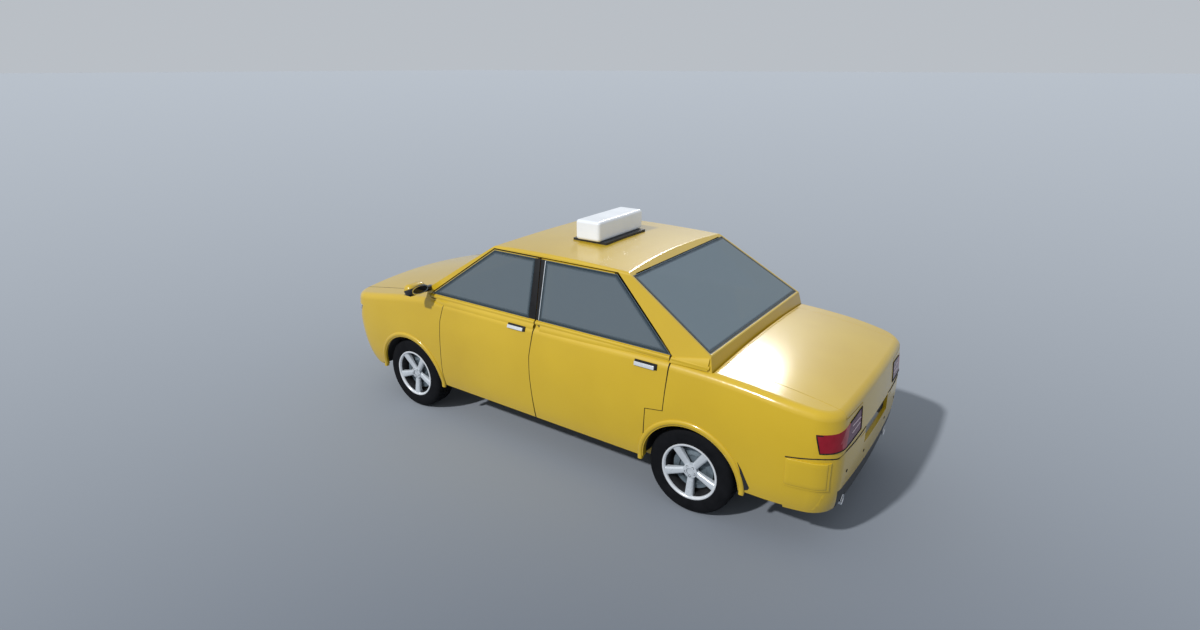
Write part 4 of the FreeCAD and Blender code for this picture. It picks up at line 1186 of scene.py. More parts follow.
# %% pads and valance
PAD_X, PAD_Z = (-1.927, -2.166), (0.500, 0.686)
PAD_COLUMNS, PAD_ROWS = 14, 6
clear_selection()
bpy.ops.mesh.primitive_grid_add(x_subdivisions=PAD_COLUMNS, y_subdivisions=PAD_ROWS, size=1.0,
                                location=ORIGIN)
pad = bpy.context.object
for vertex in pad.data.vertices:
    x = PAD_X[0] + (PAD_X[1] - PAD_X[0]) * (vertex.co.x + 0.5)
    z = PAD_Z[0] + (PAD_Z[1] - PAD_Z[0]) * (vertex.co.y + 0.5)
    place, normal = skin((x, 0, z), SIDE_CAST, ["rear_bumper"])
    vertex.co = place + normal * 0.0045
if pad.data.polygons[0].normal.y < 0:
    pad.data.flip_normals()
apply_modifier(pad, "SOLIDIFY", thickness=0.0095, offset=-1.0)
round_edges(pad, 0.0035, 3, 60)
both_sides(pad, "{}_bumper_pad", paint, "root")

VALANCE_EDGE = ((0.700, 0.491), (0.645, 0.311))
valance = bpy.data.objects.new("valance", nodes["rear_valance"].data.copy())
scene.collection.objects.link(valance)
valance.data.materials.clear()
tidy_normals(valance)
(ay, az), (by, bz) = VALANCE_EDGE
for sign in (1, -1):
    open_piece(valance, "FACE", True)
    bpy.ops.mesh.bisect(plane_co=(0, sign * ay, az), plane_no=(0, sign * (bz - az), ay - by))
    close_piece()
give_slot(valance, lambda c, n: (abs(c.y) - ay) * (bz - az) - (c.z - az) * (by - ay) < 0, 1)
mats_of = [p.material_index for p in valance.data.polygons]
finish_piece(valance, "rear_valance_piece", [plastic, paint], "root", ["rear_valance"], 30)
for face, index in zip(valance.data.polygons, mats_of):
    face.material_index = index
print("pad and valance faces", len(pad.data.polygons), len(valance.data.polygons))

# %% [markdown]
# ## Tail lamps
# Each lamp wraps the corner: a bright red outer part, a paler facet, and a smoky inner part with two clear
# bars, all held in a black frame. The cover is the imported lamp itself, merged and split along the borders of
# its colours by straight cuts; the bars and the frame are rods that follow its skin.

# %% tail lamps
lamp_red_mat = make_finish("tail_lens_red", (0.235, 0.010, 0.020), (0.300, 0.014, 0.028), 14, (0.10, 0.2),
                           grain=0.05, specular=0.25)
lamp_facet_mat = make_finish("tail_lens_facet", (0.34, 0.055, 0.070), (0.42, 0.085, 0.105), 20, (0.12, 0.2),
                             grain=0.05, specular=0.25)
lamp_smoke_mat = make_finish("tail_lens_smoke", (0.105, 0.030, 0.062), (0.16, 0.058, 0.100), 16,
                             (0.12, 0.2), grain=0.05, specular=0.25)
lamp_bar_mat = make_finish("tail_lens_bars", (0.62, 0.50, 0.54), (0.72, 0.60, 0.64), 30, (0.15, 0.25),
                           grain=0.05, specular=0.25)
LAMP_CUTS = [((0.737, 0.784), (0.681, 0.870)), ((0.641, 0.791), (0.681, 0.870)),
             ((0.641, 0.791), (0.737, 0.784)),
             ((0.660, 0.752), (0.605, 0.897))]
LAMP_SKIN = ["tail_lamps", "left_body_side"]
LAMP_TOP = [(0, 0.745, 0.872), (0, 0.612, 0.894), (0, 0.402, 0.918)]
LAMP_INNER = [(0, 0.402, 0.918), (0, 0.407, 0.768)]
LAMP_BOTTOM = [(0, 0.407, 0.768), (0, 0.600, 0.755), (0, 0.770, 0.751)]
LAMP_BARS = [[(0, 0.573, 0.857), (0, 0.424, 0.856)], [(0, 0.574, 0.811), (0, 0.436, 0.824)]]

lens = bpy.data.objects.new("lens", nodes["tail_lamps"].data.copy())
scene.collection.objects.link(lens)
lens.data.materials.clear()
tidy_normals(lens)
open_piece(lens, "FACE", True)
bpy.ops.mesh.bisect(plane_co=(0, 0.1, 0), plane_no=(0, 1, 0), clear_inner=True)
for (ay, az), (by, bz) in LAMP_CUTS:
    bpy.ops.mesh.select_all(action="SELECT")
    bpy.ops.mesh.bisect(plane_co=(0, ay, az), plane_no=(0, bz - az, ay - by))
close_piece()


def beyond(point, a, b):
    """How far a point lies to the outer side of the cut through two points."""
    return (point.y - a[0]) * (b[1] - a[1]) - (point.z - a[1]) * (b[0] - a[0])


for face in lens.data.polygons:
    c = face.center
    outer = beyond(c, *LAMP_CUTS[0]) > 0 and (c.z > 0.784 or c.y > 0.737)
    inner = beyond(c, *LAMP_CUTS[3]) < 0
    face.material_index = 2 if inner else (0 if outer or (c.y > 0.71 and c.z < 0.80) else 1)
lens.data.transform(Matrix.Translation((-0.0012, 0.0006, 0)))
both_sides(lens, "{}_tail_lens", [lamp_red_mat, lamp_facet_mat, lamp_smoke_mat], "root",
           ["tail_lamps"], 30)

end_low = max(v.co.x for v in lens.data.vertices if v.co.z < 0.756)
end_high = max(v.co.x for v in lens.data.vertices if v.co.z > 0.866)
side_low = skin_line([(-2.150, 0, 0.7525), (end_low, 0, 0.7525)], SIDE_CAST, LAMP_SKIN)
side_up = skin_line([(end_low + (end_high - end_low) * 0.2, 0, 0.776), (end_high, 0, 0.868)], SIDE_CAST,
                    LAMP_SKIN)
side_top = skin_line([(end_high - 0.012, 0, 0.868), (end_high - 0.035, 0, 0.868)], SIDE_CAST, LAMP_SKIN)
frame_line = skin_line(LAMP_TOP[1:], REAR_CAST, LAMP_SKIN) + skin_line(LAMP_INNER, REAR_CAST, LAMP_SKIN)[1:]
frame_line += skin_line(LAMP_BOTTOM, REAR_CAST, LAMP_SKIN)[1:] + side_low + side_up + side_top
out_a_little = Vector((-0.0010, 0.0008, 0.0))
both_sides(tube([p + out_a_little for p in frame_line], 0.0042), "{}_tail_lens_frame", rubber, "root",
           angle=60)
bars = [tube(skin_line(line, REAR_CAST, LAMP_SKIN, 0.0012), 0.0032, 2) for line in LAMP_BARS]
both_sides(join(bars), "{}_tail_lens_bars", lamp_bar_mat, "root")
print("tail lens faces", len(lens.data.polygons))

# %% [markdown]
# ## Plate recess, sensors and exhaust tips
# The plate itself is blank and grey. The far, upper part of the recess is a black plate that paints the
# recess's shade, and the grey plate ends on a slant where that painted shade starts. Four parking sensors sit
# in the bumper, and each exhaust ends in a polished tip with a rolled lip and a sooty bore.

# %% plate and sensors
PLATE_X = -2.2216
PLATE_GREY = [(0.284, 0.731), (0.030, 0.731), (-0.180, 0.613), (0.284, 0.613)]
PLATE_PAINTED_SHADE = [(0.030, 0.731), (-0.284, 0.731), (-0.284, 0.613), (-0.180, 0.613)]
# The second plate is a black sheet of painted shade over the recess's far, upper part.
for name, outline, mat in (("blank_rear_plate", PLATE_GREY, plate_grey),
                           ("plate_recess_panel", PLATE_PAINTED_SHADE, rubber)):
    plate = solid_plate([(PLATE_X, y, z) for y, z in outline], (-1, 0, 0), 0.0012)
    finish_piece(plate, name, mat, "root")
SENSORS = [(0.600, 0.564), (0.266, 0.546)]
for number, (y, z) in enumerate(SENSORS):
    place = skin_place((0, y, z), REAR_CAST, ["rear_bumper"])
    button = start_rod((0, -0.002, 0), (0, 1, 0), 0.0105, 0.0040, 28)
    inset_faces(button, lambda c, n: n.y > 0.9, 0.0022, 0.0)
    inset_faces(button, lambda c, n: n.y > 0.9 and abs(c.x) < 0.0005 and abs(c.z) < 0.0005, 0.0006, -0.0008)
    button.data.transform(place)
    both_sides(button, "{}_parking_sensor_" + str(number), rubber, "root")
print("sensors", 2 * len(SENSORS))

# %% exhaust tips
TIP_AT = Vector((-2.150, 0.530, 0.306))
TIP_RING = [(0.0300, 0.0), (0.0335, 0.0), (0.0340, 0.030), (0.0352, 0.056), (0.0365, 0.0615),
            (0.0355, 0.0640), (0.0325, 0.0625),
            (0.0305, 0.056), (0.0300, 0.040)]
tip = spin_ring(TIP_RING, (0, 0, 0), 40)
bore = start_rod((0, 0.030, 0), (0, 1, 0), 0.0302, 0.002, 40)
bore.data.materials.append(rubber)
tip.data.materials.append(chrome)
tip = join([tip, bore])
tip.data.transform(Matrix.Translation(TIP_AT) @ Matrix.Rotation(math.radians(90), 4, "Z"))
both_sides(tip, "{}_exhaust_tip", [chrome, rubber], "root")
print("tips reach x", round(TIP_AT.x - 0.064, 3))

# %% [markdown]
# ## Seats
# A seat is foam under cloth, so each cushion starts as a slightly small block with soft edges, is remeshed to
# small even faces, and is blown up for twenty frames by the cloth solver, with a little pressure and no
# weight. No point may move further than a cap. Sewn channels are pressed in afterwards and one subdivision
# smooths the cloth.

# %% padding tools
INSIDE_CAST = (Vector((0, 0, 0)), Vector((0, 1, 0)), Vector((1, 0, 0)))
PRESSURE = 4.0
LAST_FRAME = 20
seat_panel = make_cloth("seat_panel_cloth", (0.045, 0.052, 0.062), (0.105, 0.115, 0.130), 600.0)


def profile_block(points, y_low, y_high, width, segments=5):
    """A side profile of (x, z) corners carried across from one y to another, with soft edges."""
    obj = start_outline([(x, y_high, z) for x, z in points], (0, 1, 0))
    push_out(obj, lambda c, n: True, (0.0, y_low - y_high, 0.0))
    tidy_normals(obj)
    round_edges(obj, width, segments, 20)
    return obj


def swell(obj, voxel, cap):
    """Remesh, blow up with the cloth solver, and cap how far each point went."""
    apply_modifier(obj, "REMESH", mode="VOXEL", voxel_size=voxel)
    before = [v.co.copy() for v in obj.data.vertices]
    clear_selection()
    obj.select_set(True)
    bpy.context.view_layer.objects.active = obj
    cloth = obj.modifiers.new("cloth", "CLOTH")
    cloth.settings.quality = 4
    cloth.settings.mass = 0.3
    cloth.settings.use_pressure = True
    cloth.settings.uniform_pressure_force = PRESSURE
    cloth.settings.effector_weights.gravity = 0.0
    cloth.point_cache.frame_start, cloth.point_cache.frame_end = 1, LAST_FRAME
    for frame_number in range(1, LAST_FRAME + 1):
        scene.frame_set(frame_number)
    bpy.ops.object.modifier_apply(modifier=cloth.name)
    scene.frame_set(1)
    for vertex, start in zip(obj.data.vertices, before):
        step = vertex.co - start
        if step.length > cap:
            vertex.co = start + step * (cap / step.length)


def sew(obj, lines, width, depth):
    """Press channels into a cushion; each line is a test distance from a point, and a direction to press."""
    for distance_to, press in lines:
        press = Vector(press)
        for vertex in obj.data.vertices:
            if vertex.normal.dot(press) < -0.35:
                vertex.co += press * depth * math.exp(-(distance_to(vertex.co) / width) ** 2)


def finish_padding(obj, name, body, panel, stands_for=(), mirror=False):
    """Centre panel in its own cloth, one subdivision, and the padding finished on the left and, when mirrored,
    on the right.
    """
    apply_modifier(obj, "SUBSURF", levels=1, render_levels=1)
    give_slot(obj, panel, 1)
    indices = [p.material_index for p in obj.data.polygons]
    pieces = [(obj, "left")] + ([(copy_piece(obj, MIRROR_Y, "twin"), "right")] if mirror else [])
    for piece, side in pieces:
        finish_piece(piece, name.format(side), [seat_cloth, seat_panel], body,
                     [n.format(side) for n in stands_for], 80)
        piece.data.polygons.foreach_set("material_index", indices)
    print(pieces[0][0].name, "faces", len(obj.data.polygons))


print("padding tools ready, quick look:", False)

# %% front seats
SEAT_MID = 0.360
INSERT = 0.165
cushion = profile_block([(0.622, 0.398), (0.628, 0.484), (0.16, 0.458), (0.12, 0.398)], 0.128, 0.592, 0.030)
swell(cushion, 0.010, 0.016)
sew(cushion, [(lambda p: abs(abs(p.y - SEAT_MID) - INSERT), (0, 0, -1)),
              (lambda p: abs(p.x - 0.46), (0, 0, -1)),
              (lambda p: abs(p.x - 0.31), (0, 0, -1))], 0.010, 0.009)
finish_padding(cushion, "{}_front_seat_cushion", "root",
               lambda c, n: abs(c.y - SEAT_MID) < INSERT and n.z > 0.3, ["{}_front_seat"], True)

back = profile_block([(0.118, 0.505), (0.006, 0.962), (-0.066, 0.962), (0.042, 0.470)], 0.128, 0.592, 0.028)
for vertex in back.data.vertices:
    share = max(0.0, (vertex.co.z - 0.70) / 0.26)
    vertex.co.y = SEAT_MID + (vertex.co.y - SEAT_MID) * (1.0 - 0.10 * share ** 2)
swell(back, 0.010, 0.015)
sew(back, [(lambda p: abs(abs(p.y - SEAT_MID) - INSERT * 0.92), (-1, 0, 0.1)),
           (lambda p: abs(p.z - 0.70), (-1, 0, 0.1)),
           (lambda p: abs(p.z - 0.84), (-1, 0, 0.1))], 0.010, 0.009)
finish_padding(back, "{}_front_seat_back", "root",
               lambda c, n: abs(c.y - SEAT_MID) < INSERT * 0.92 and n.x > 0.3 and c.z < 0.93, (), True)

rest = start_block((-0.072, SEAT_MID - 0.118, 1.020), (-0.008, SEAT_MID + 0.118, 1.140))
round_edges(rest, 0.024, 4)
swell(rest, 0.007, 0.008)
finish_padding(rest, "{}_front_headrest", "root", lambda c, n: n.x > 0.5, (), True)
posts = [start_rod((-0.040, SEAT_MID + s * 0.055, 0.950), (0, 0, 1), 0.0065, 0.090, 16) for s in (-1, 1)]
both_sides(join(posts), "{}_headrest_posts", chrome, "root")
base = start_block((0.130, 0.215, 0.290), (0.530, 0.505, 0.398))
round_edges(base, 0.012, 3)
rails = [start_block((0.060, y - 0.018, 0.286), (0.600, y + 0.018, 0.304)) for y in (0.235, 0.485)]
knob = start_rod((0.40, 0.600, 0.425), (0, 1, 0), 0.024, 0.010, 24)
both_sides(join([base] + rails + [knob]), "{}_seat_base", plastic, "root")

# %% rear bench
BENCH_EDGES = (0.19, 0.375)
bench = profile_block([(-0.262, 0.398), (-0.256, 0.484), (-0.73, 0.458), (-0.76, 0.398)], -0.572, 0.572,
                      0.032)
swell(bench, 0.012, 0.018)
sew(bench, [(lambda p: min(abs(abs(p.y) - e) for e in BENCH_EDGES + (0.545,)), (0, 0, -1)),
            (lambda p: abs(p.x + 0.40), (0, 0, -1))],
    0.012, 0.010)
finish_padding(bench, "rear_bench_cushion", "root", lambda c, n: 0.19 < abs(c.y) < 0.545
               and n.z > 0.3 and c.x < -0.30,
               ["rear_seat"])
squab = profile_block([(-0.765, 0.500), (-0.874, 0.962), (-0.945, 0.962), (-0.838, 0.470)], -0.572, 0.572,
                      0.030)
swell(squab, 0.012, 0.018)
sew(squab, [(lambda p: min(abs(abs(p.y) - e) for e in BENCH_EDGES + (0.545,)), (-1, 0, 0.1)),
            (lambda p: abs(p.z - 0.86), (-1, 0, 0.1))],
    0.012, 0.010)
finish_padding(squab, "rear_bench_back", "root", lambda c, n: 0.19 < abs(c.y) < 0.545
               and n.x > 0.3 and c.z < 0.90,
               ())
plinth = start_block((-0.795, -0.560, 0.288), (-0.330, 0.560, 0.398))
round_edges(plinth, 0.012, 3)
finish_piece(plinth, "rear_bench_plinth", carpet, "root")
print("seats done")

# %% [markdown]
# ## Door cards
# The inner side of a door is a moulded card over the steel: a grid primitive dropped on the inner skin, with
# its middle in cloth as an insert, an armrest block, a release lever, a pocket and a speaker. The window
# glass has no winder, because the windows are electric; the switches sit on the armrest.

# %% door cards
CARD_GAP = 0.0015


def door_card(door, x_span, z_span):
    clear_selection()
    bpy.ops.mesh.primitive_grid_add(x_subdivisions=16, y_subdivisions=12, size=1.0, location=ORIGIN)
    card = bpy.context.object
    skin_node = ["left_" + door]
    depths = []
    for vertex in card.data.vertices:
        x = x_span[0] + (x_span[1] - x_span[0]) * (vertex.co.x + 0.5)
        z = z_span[0] + (z_span[1] - z_span[0]) * (vertex.co.y + 0.5)
        place, _ = skin((x, 0, z), INSIDE_CAST, skin_node)
        vertex.co = (x, place.y - CARD_GAP, z)
        depths.append(place.y)
    if card.data.polygons[0].normal.y > 0:
        card.data.flip_normals()
    wall = min(depths)
    inset_low, inset_high = z_span[0] + 0.26, z_span[1] - 0.07
    apply_modifier(card, "SOLIDIFY", thickness=0.008, offset=1.0)
    give_slot(card, lambda c, n: n.y < -0.5 and inset_low < c.z < inset_high
              and x_span[0] + 0.06 < c.x < x_span[1] - 0.10, 1)
    round_edges(card, 0.003, 2, 60)
    mid = (x_span[0] + x_span[1]) / 2
    arm_z = z_span[0] + 0.33
    arm = start_block((mid - 0.24, wall - 0.052, arm_z - 0.030), (mid + 0.16, wall + 0.004, arm_z + 0.014))
    round_edges(arm, 0.016, 4)
    switch = start_block((mid + 0.06, wall - 0.044, arm_z + 0.010),
                         (mid + 0.12, wall - 0.020, arm_z + 0.018))
    round_edges(switch, 0.003, 2)
    pocket = start_block((mid - 0.22, wall - 0.034, z_span[0] + 0.03),
                         (mid + 0.24, wall + 0.004, z_span[0] + 0.15))
    round_edges(pocket, 0.014, 3)
    inset_faces(pocket, lambda c, n: n.z > 0.95, 0.006, 0.0)
    inset_faces(pocket, lambda c, n: n.z > 0.95 and c.z > z_span[0] + 0.149
                and abs(c.x - mid - 0.01) < 0.002, 0.001, -0.080)
    for piece in (arm, switch, pocket):
        piece.data.materials.append(slate_plastic)
    lever = start_block((x_span[1] - 0.20, wall - 0.016, arm_z + 0.075),
                        (x_span[1] - 0.10, wall - 0.004, arm_z + 0.100))
    round_edges(lever, 0.005, 3)
    lever.data.materials.append(chrome)
    speaker = start_rod((x_span[1] - 0.13, wall + 0.002, z_span[0] + 0.115), (0, -1, 0), 0.070, 0.008, 40)
    inset_faces(speaker, lambda c, n: n.y < -0.9, 0.008, -0.002)
    speaker.data.materials.append(plastic)
    for mat in (slate_plastic, door_cloth):
        card.data.materials.append(mat)
    card = join([card, arm, switch, pocket, lever, speaker])
    mats = list(card.data.materials)
    both_sides(card, "{}_" + door + "_card", mats, "{}_" + door)
    print(door, "card wall y", round(wall, 3))


door_card("front_door", (0.150, 0.955), (0.420, 1.060))
door_card("rear_door", (-0.840, -0.010), (0.460, 1.060))

# %% [markdown]
# ## Dashboard, wheel and floor
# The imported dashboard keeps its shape. On it go a hooded instrument cluster with two dials, four round air
# vents, a dark screen, a row of knobs and a glovebox lid. The steering wheel gets a padded boss and a column;
# the floor gets carpets, mats, three pedals and a console with a gear lever and a handbrake.

# %% dashboard pieces
DASH = ["dashboard"]
dial_white = make_finish("dial_marks", (0.50, 0.52, 0.55), (0.60, 0.62, 0.65), 60, (0.4, 0.5), grain=0.05)
screen_glass = make_finish("screen_glass", (0.008, 0.012, 0.018), (0.014, 0.020, 0.028), 10, (0.06, 0.1),
                           grain=0.01, coat=1.0)
DASH_BACK = (Vector((-FAR, 0, 0)), Vector((1, 0, 0)), Vector((0, -1, 0)))


def dash_part(y, z, low, high, mat, bevel=0.004, proud=0.0):
    """A block built flat (x across the dash, y out of it, z up it) and carried to the dash face."""
    piece = start_block(low, high)
    round_edges(piece, bevel, 3)
    piece.data.transform(skin_place((0, y, z), DASH_BACK, DASH, proud))
    piece.data.materials.append(mat)
    return piece


def dash_ring(y, z, radius, depth, mat, centre_mat):
    ring = start_rod((0, -0.002, 0), (0, 1, 0), radius, depth, 40)
    inset_faces(ring, lambda c, n: n.y > 0.9, radius * 0.12)
    inset_faces(ring, lambda c, n: n.y > 0.9 and abs(c.x) < 0.0005 and abs(c.z) < 0.0005, radius * 0.06,
                -depth * 0.45)
    ring.data.materials.append(mat)
    ring.data.materials.append(centre_mat)
    give_slot(ring, lambda c, n: n.y > 0.9 and c.length < depth, 1)
    ring.data.transform(skin_place((0, y, z), DASH_BACK, DASH))
    return ring


pieces = [dash_part(0.360, 0.900, (-0.165, -0.01, -0.060), (0.165, 0.030, 0.075), slate_plastic, 0.022)]
pieces += [dash_ring(0.360 + s * 0.075, 0.905, 0.055, 0.044, plastic, screen_glass) for s in (-1, 1)]
for s in (-1, 1):
    pieces.append(dash_part(0.360 + s * 0.075, 0.905, (-0.0012, 0.024, 0.002), (0.0012, 0.0265, 0.040),
                            dial_white, 0.0004))
for y in (0.575, 0.130, -0.130, -0.575):
    pieces.append(dash_ring(y, 0.880, 0.036, 0.018, chrome, plastic))
pieces.append(dash_part(0.0, 0.905, (-0.085, -0.004, -0.040), (0.085, 0.012, 0.045), screen_glass, 0.006))
for y in (-0.060, 0.0, 0.060):
    pieces.append(dash_ring(y, 0.800, 0.019, 0.022, plastic, slate_plastic))
pieces.append(dash_part(-0.360, 0.790, (-0.170, -0.004, -0.075), (0.170, 0.006, 0.060), slate_plastic,
                        0.006))
pieces.append(dash_part(-0.360, 0.835, (-0.030, 0.004, -0.006), (0.030, 0.014, 0.008), plastic, 0.004))
dash_piece = join(pieces)
mats = list(dash_piece.data.materials)
indices = [p.material_index for p in dash_piece.data.polygons]
finish_piece(dash_piece, "dashboard_fittings", mats, "root", angle=40)
dash_piece.data.polygons.foreach_set("material_index", indices)
dress(["dashboard"], slate_plastic)
print("dash fittings", len(pieces))

# %% steering boss and column
WHEEL_CENTRE = Vector((0.800, 0.360, 0.905))
RAKE = math.radians(24)
TO_DRIVER = Vector((-math.cos(RAKE), 0, math.sin(RAKE)))
across = Vector((0, 1, 0))
steer_place = Matrix.Translation(WHEEL_CENTRE) @ Matrix((across, TO_DRIVER,
                                                         across.cross(TO_DRIVER))).transposed().to_4x4()
boss = start_block((-0.062, 0.008, -0.048), (0.062, 0.034, 0.048))
round_edges(boss, 0.016, 5)
for s in (-1, 1):
    key_pad = start_block((s * 0.075 - 0.014, 0.010, -0.012), (s * 0.075 + 0.014, 0.024, 0.012))
    round_edges(key_pad, 0.004, 2)
    boss = join([boss, key_pad])
boss.data.transform(steer_place)
finish_piece(boss, "steering_boss", slate_plastic, "steering_wheel")
column = start_rod(tuple(WHEEL_CENTRE - TO_DRIVER * 0.30), tuple(TO_DRIVER), 0.036, 0.235, 28)
round_edges(column, 0.006, 3)
stalks = [tube([WHEEL_CENTRE - TO_DRIVER * 0.080 + Vector((0, s * 0.030, 0)),
                WHEEL_CENTRE - TO_DRIVER * 0.075 + Vector((0, s * 0.155, 0.030))],
               0.0065, 3) for s in (-1, 1)]
finish_piece(join([column] + stalks), "steering_column", plastic, "root")
dress(["steering_wheel"], plastic)

# %% console, pedals and carpets
console = start_block((-0.050, -0.085, 0.288), (0.820, 0.085, 0.470))
round_edges(console, 0.022, 4)
inset_faces(console, lambda c, n: n.z > 0.9, 0.022)
box_lid = start_block((-0.030, -0.078, 0.468), (0.215, 0.078, 0.520))
round_edges(box_lid, 0.018, 4)
gaiter = start_rod((0.520, 0, 0.462), (0, 0, 1), 0.050, 0.050, 24)
open_piece(gaiter)
pick(gaiter, lambda c, n: n.z > 0.9)
bpy.ops.transform.resize(value=(0.3, 0.3, 1.0), center_override=(0.520, 0, 0.512))
close_piece()
lever = start_rod((0.520, 0, 0.500), (-0.12, 0, 1), 0.0075, 0.110, 16)
knob = start_rod((0.507, 0, 0.600), (-0.12, 0, 1), 0.022, 0.050, 28)
round_edges(knob, 0.010, 4)
brake = start_rod((0.300, 0.055, 0.505), (0.95, 0, 0.22), 0.013, 0.170, 20)
round_edges(brake, 0.004, 2)
finish_piece(join([console, box_lid, gaiter, lever, knob, brake]), "centre_console", slate_plastic, "root",
             angle=40)
pedals = []
for y, x, width in ((0.470, 1.075, 0.055), (0.380, 1.085, 0.065), (0.285, 1.090, 0.045)):
    pad_block = start_block((x - 0.006, y - width / 2, 0.385), (x + 0.006, y + width / 2, 0.460))
    round_edges(pad_block, 0.004, 2)
    arm = tube([(x + 0.004, y, 0.455), (x + 0.035, y, 0.560), (x + 0.045, y, 0.620)], 0.006, 2)
    pedals += [pad_block, arm]
finish_piece(join(pedals), "pedals", plastic, "root")
FLOOR_TOP = 0.2885
for side, sign in (("left", 1), ("right", -1)):
    for end, x0, x1 in (("front", 0.600, 1.110), ("rear", -0.300, 0.080)):
        mat_plate = start_block((x0, sign * 0.10, FLOOR_TOP), (x1, sign * 0.62, FLOOR_TOP + 0.010))
        round_edges(mat_plate, 0.004, 2)
        finish_piece(mat_plate, side + "_" + end + "_mat", carpet, "root")
print("console and carpets done")

# %% [markdown]
# ## Roof lining, shelf and cabin extras
# A felt lining hides the roof bows, with two sun visors, a mirror and a lamp. The parcel
# shelf carries two speaker grilles.

# %% lining and visors
lining = start_block((-0.640, -0.560, 1.560), (0.480, 0.560, 1.568))
round_edges(lining, 0.003, 2)
finish_piece(lining, "roof_lining", headlining, "root")
visors = []
for sign in (1, -1):
    visor = start_block((0.330, sign * 0.140, 1.543), (0.470, sign * 0.480, 1.557))
    round_edges(visor, 0.006, 3)
    visors.append(visor)
lamp_block = start_block((-0.080, -0.070, 1.548), (0.020, 0.070, 1.561))
round_edges(lamp_block, 0.006, 3)
finish_piece(join(visors + [lamp_block]), "visors_and_roof_lamp", headlining, "root")
inside_mirror = start_block((0.500, -0.115, 1.440), (0.522, 0.115, 1.500))
round_edges(inside_mirror, 0.010, 4)
inset_faces(inside_mirror, lambda c, n: n.x < -0.95, 0.004, -0.001)
stem = tube([(0.520, 0, 1.490), (0.530, 0, 1.540), (0.500, 0, 1.562)], 0.007, 2)
finish_piece(join([inside_mirror, stem]), "inside_mirror", plastic, "root")
shelf_z = skin((-1.240, 0.480, 0), TOP_CAST, ["parcel_shelf"])[0].z
shelf_cover = start_block((-1.320, -0.680, shelf_z - 0.001), (-1.125, 0.680, shelf_z + 0.003))
round_edges(shelf_cover, 0.001, 2)
finish_piece(shelf_cover, "parcel_shelf_cover", carpet, "root")
grilles = []
for sign in (1, -1):
    grille_disc = start_rod((-1.220, sign * 0.480, shelf_z + 0.0025), (0, 0, 1), 0.070, 0.008, 36)
    inset_faces(grille_disc, lambda c, n: n.z > 0.9, 0.008, -0.002)
    grilles.append(grille_disc)
finish_piece(join(grilles), "shelf_speakers", plastic, "root")
print("lining at z 1.568")

# %% [markdown]
# ## Nose, wipers and engine bay
# The nose carries round lamps behind clear covers, a slatted grille, a lower intake, fog lamps and a blank
# plate. Two wipers lie on the windscreen. Under the bonnet the plain engine mass gets a ribbed cover with a
# filler cap, and the boot floor gets its carpet.

# %% headlamp bowls
LAMP_BOWLS = ((0.735, 0.050), (0.610, 0.044))
LAMP_BOWL_Z = 0.782

for y, radius in LAMP_BOWLS:
    place = skin_place((0, y, LAMP_BOWL_Z), FRONT_CAST, ["headlamps"], 0.0004)
    bowl = start_rod((0, 0, 0), (0, 1, 0), radius, 0.0024, 40)
    inset_faces(bowl, lambda c, n: n.y > 0.9, 0.006, 0.0)
    inset_faces(bowl, lambda c, n: n.y > 0.9 and c.xz.length < 0.001, 0.010, -0.0012)
    inset_faces(bowl, lambda c, n: n.y > 0.9 and c.xz.length < 0.001, 0.012, 0.0010)
    give_slot(bowl, lambda c, n: n.y > 0.5 and c.xz.length < radius - 0.016, 1)
    bowl.data.transform(place)
    both_sides(bowl, "{}_headlamp_bowl_" + str(round(y * 1000)), [chrome, lens_clear], "root")
print("headlamp bowls", len(LAMP_BOWLS) * 2)

# %% grille slats
SLAT_COUNT = 6
SLAT_LOWEST, SLAT_PITCH = 0.695, 0.028
SLAT_REACH, SLAT_R, SLAT_SUNK = 0.350, 0.0034, 0.0028
slats = []
for i in range(SLAT_COUNT):
    z = SLAT_LOWEST + i * SLAT_PITCH
    line = skin_line([(0, -SLAT_REACH, z), (0, SLAT_REACH, z)], FRONT_CAST, ["grille"], -SLAT_SUNK, 0.05)
    slat = tube(line, SLAT_R, 2)
    slats.append(slat)
finish_piece(join(slats), "grille_slats", chrome, "root", angle=60)
print("slats", SLAT_COUNT)

# %% lower intake, fog lamps and plate
INTAKE_HEIGHTS = (0.366, 0.390, 0.414)
INTAKE_REACH, INTAKE_R = 0.420, 0.0060
FOG_AT, FOG_R = (0, 0.600, 0.400), 0.040
PLATE_HALF, PLATE_LOW, PLATE_HIGH = 0.260, 0.455, 0.565

intake = []
for z in INTAKE_HEIGHTS:
    line = skin_line([(0, -INTAKE_REACH, z), (0, INTAKE_REACH, z)], FRONT_CAST, ["front_bumper"], 0.0005,
                     0.06)
    intake.append(tube(line, INTAKE_R, 2))
finish_piece(join(intake), "lower_intake_bars", plastic, "root", angle=60)

fog = start_rod((0, 0, 0), (0, 1, 0), FOG_R, 0.0030, 36)
inset_faces(fog, lambda c, n: n.y > 0.9, 0.008, 0.0)
inset_faces(fog, lambda c, n: n.y > 0.9 and c.xz.length < 0.001, 0.003, -0.0015)
give_slot(fog, lambda c, n: n.y > 0.5 and c.xz.length < 0.030, 1)
fog.data.transform(skin_place(FOG_AT, FRONT_CAST, ["front_bumper"], 0.0))
both_sides(fog, "{}_fog_lamp", [plastic, lens_clear], "root")

plate_x = skin((0, 0.0, (PLATE_LOW + PLATE_HIGH) / 2), FRONT_CAST, ["front_bumper"])[0].x
front_plate = start_block((plate_x - 0.006, -PLATE_HALF, PLATE_LOW),
                          (min(plate_x + 0.004, cad_box[1][0]), PLATE_HALF, PLATE_HIGH))
round_edges(front_plate, 0.0015, 2)
finish_piece(front_plate, "front_plate", plate_grey, "root")
print("front plate x", round(plate_x, 3))

# %% wipers
WIPER_PIVOTS = ((0.420, 0.640), (-0.140, 0.560))
screen_normal = Vector((0.538, 0.0, 0.843)).normalized()
screen_low = outer_corners("windscreen", screen_normal)[0]


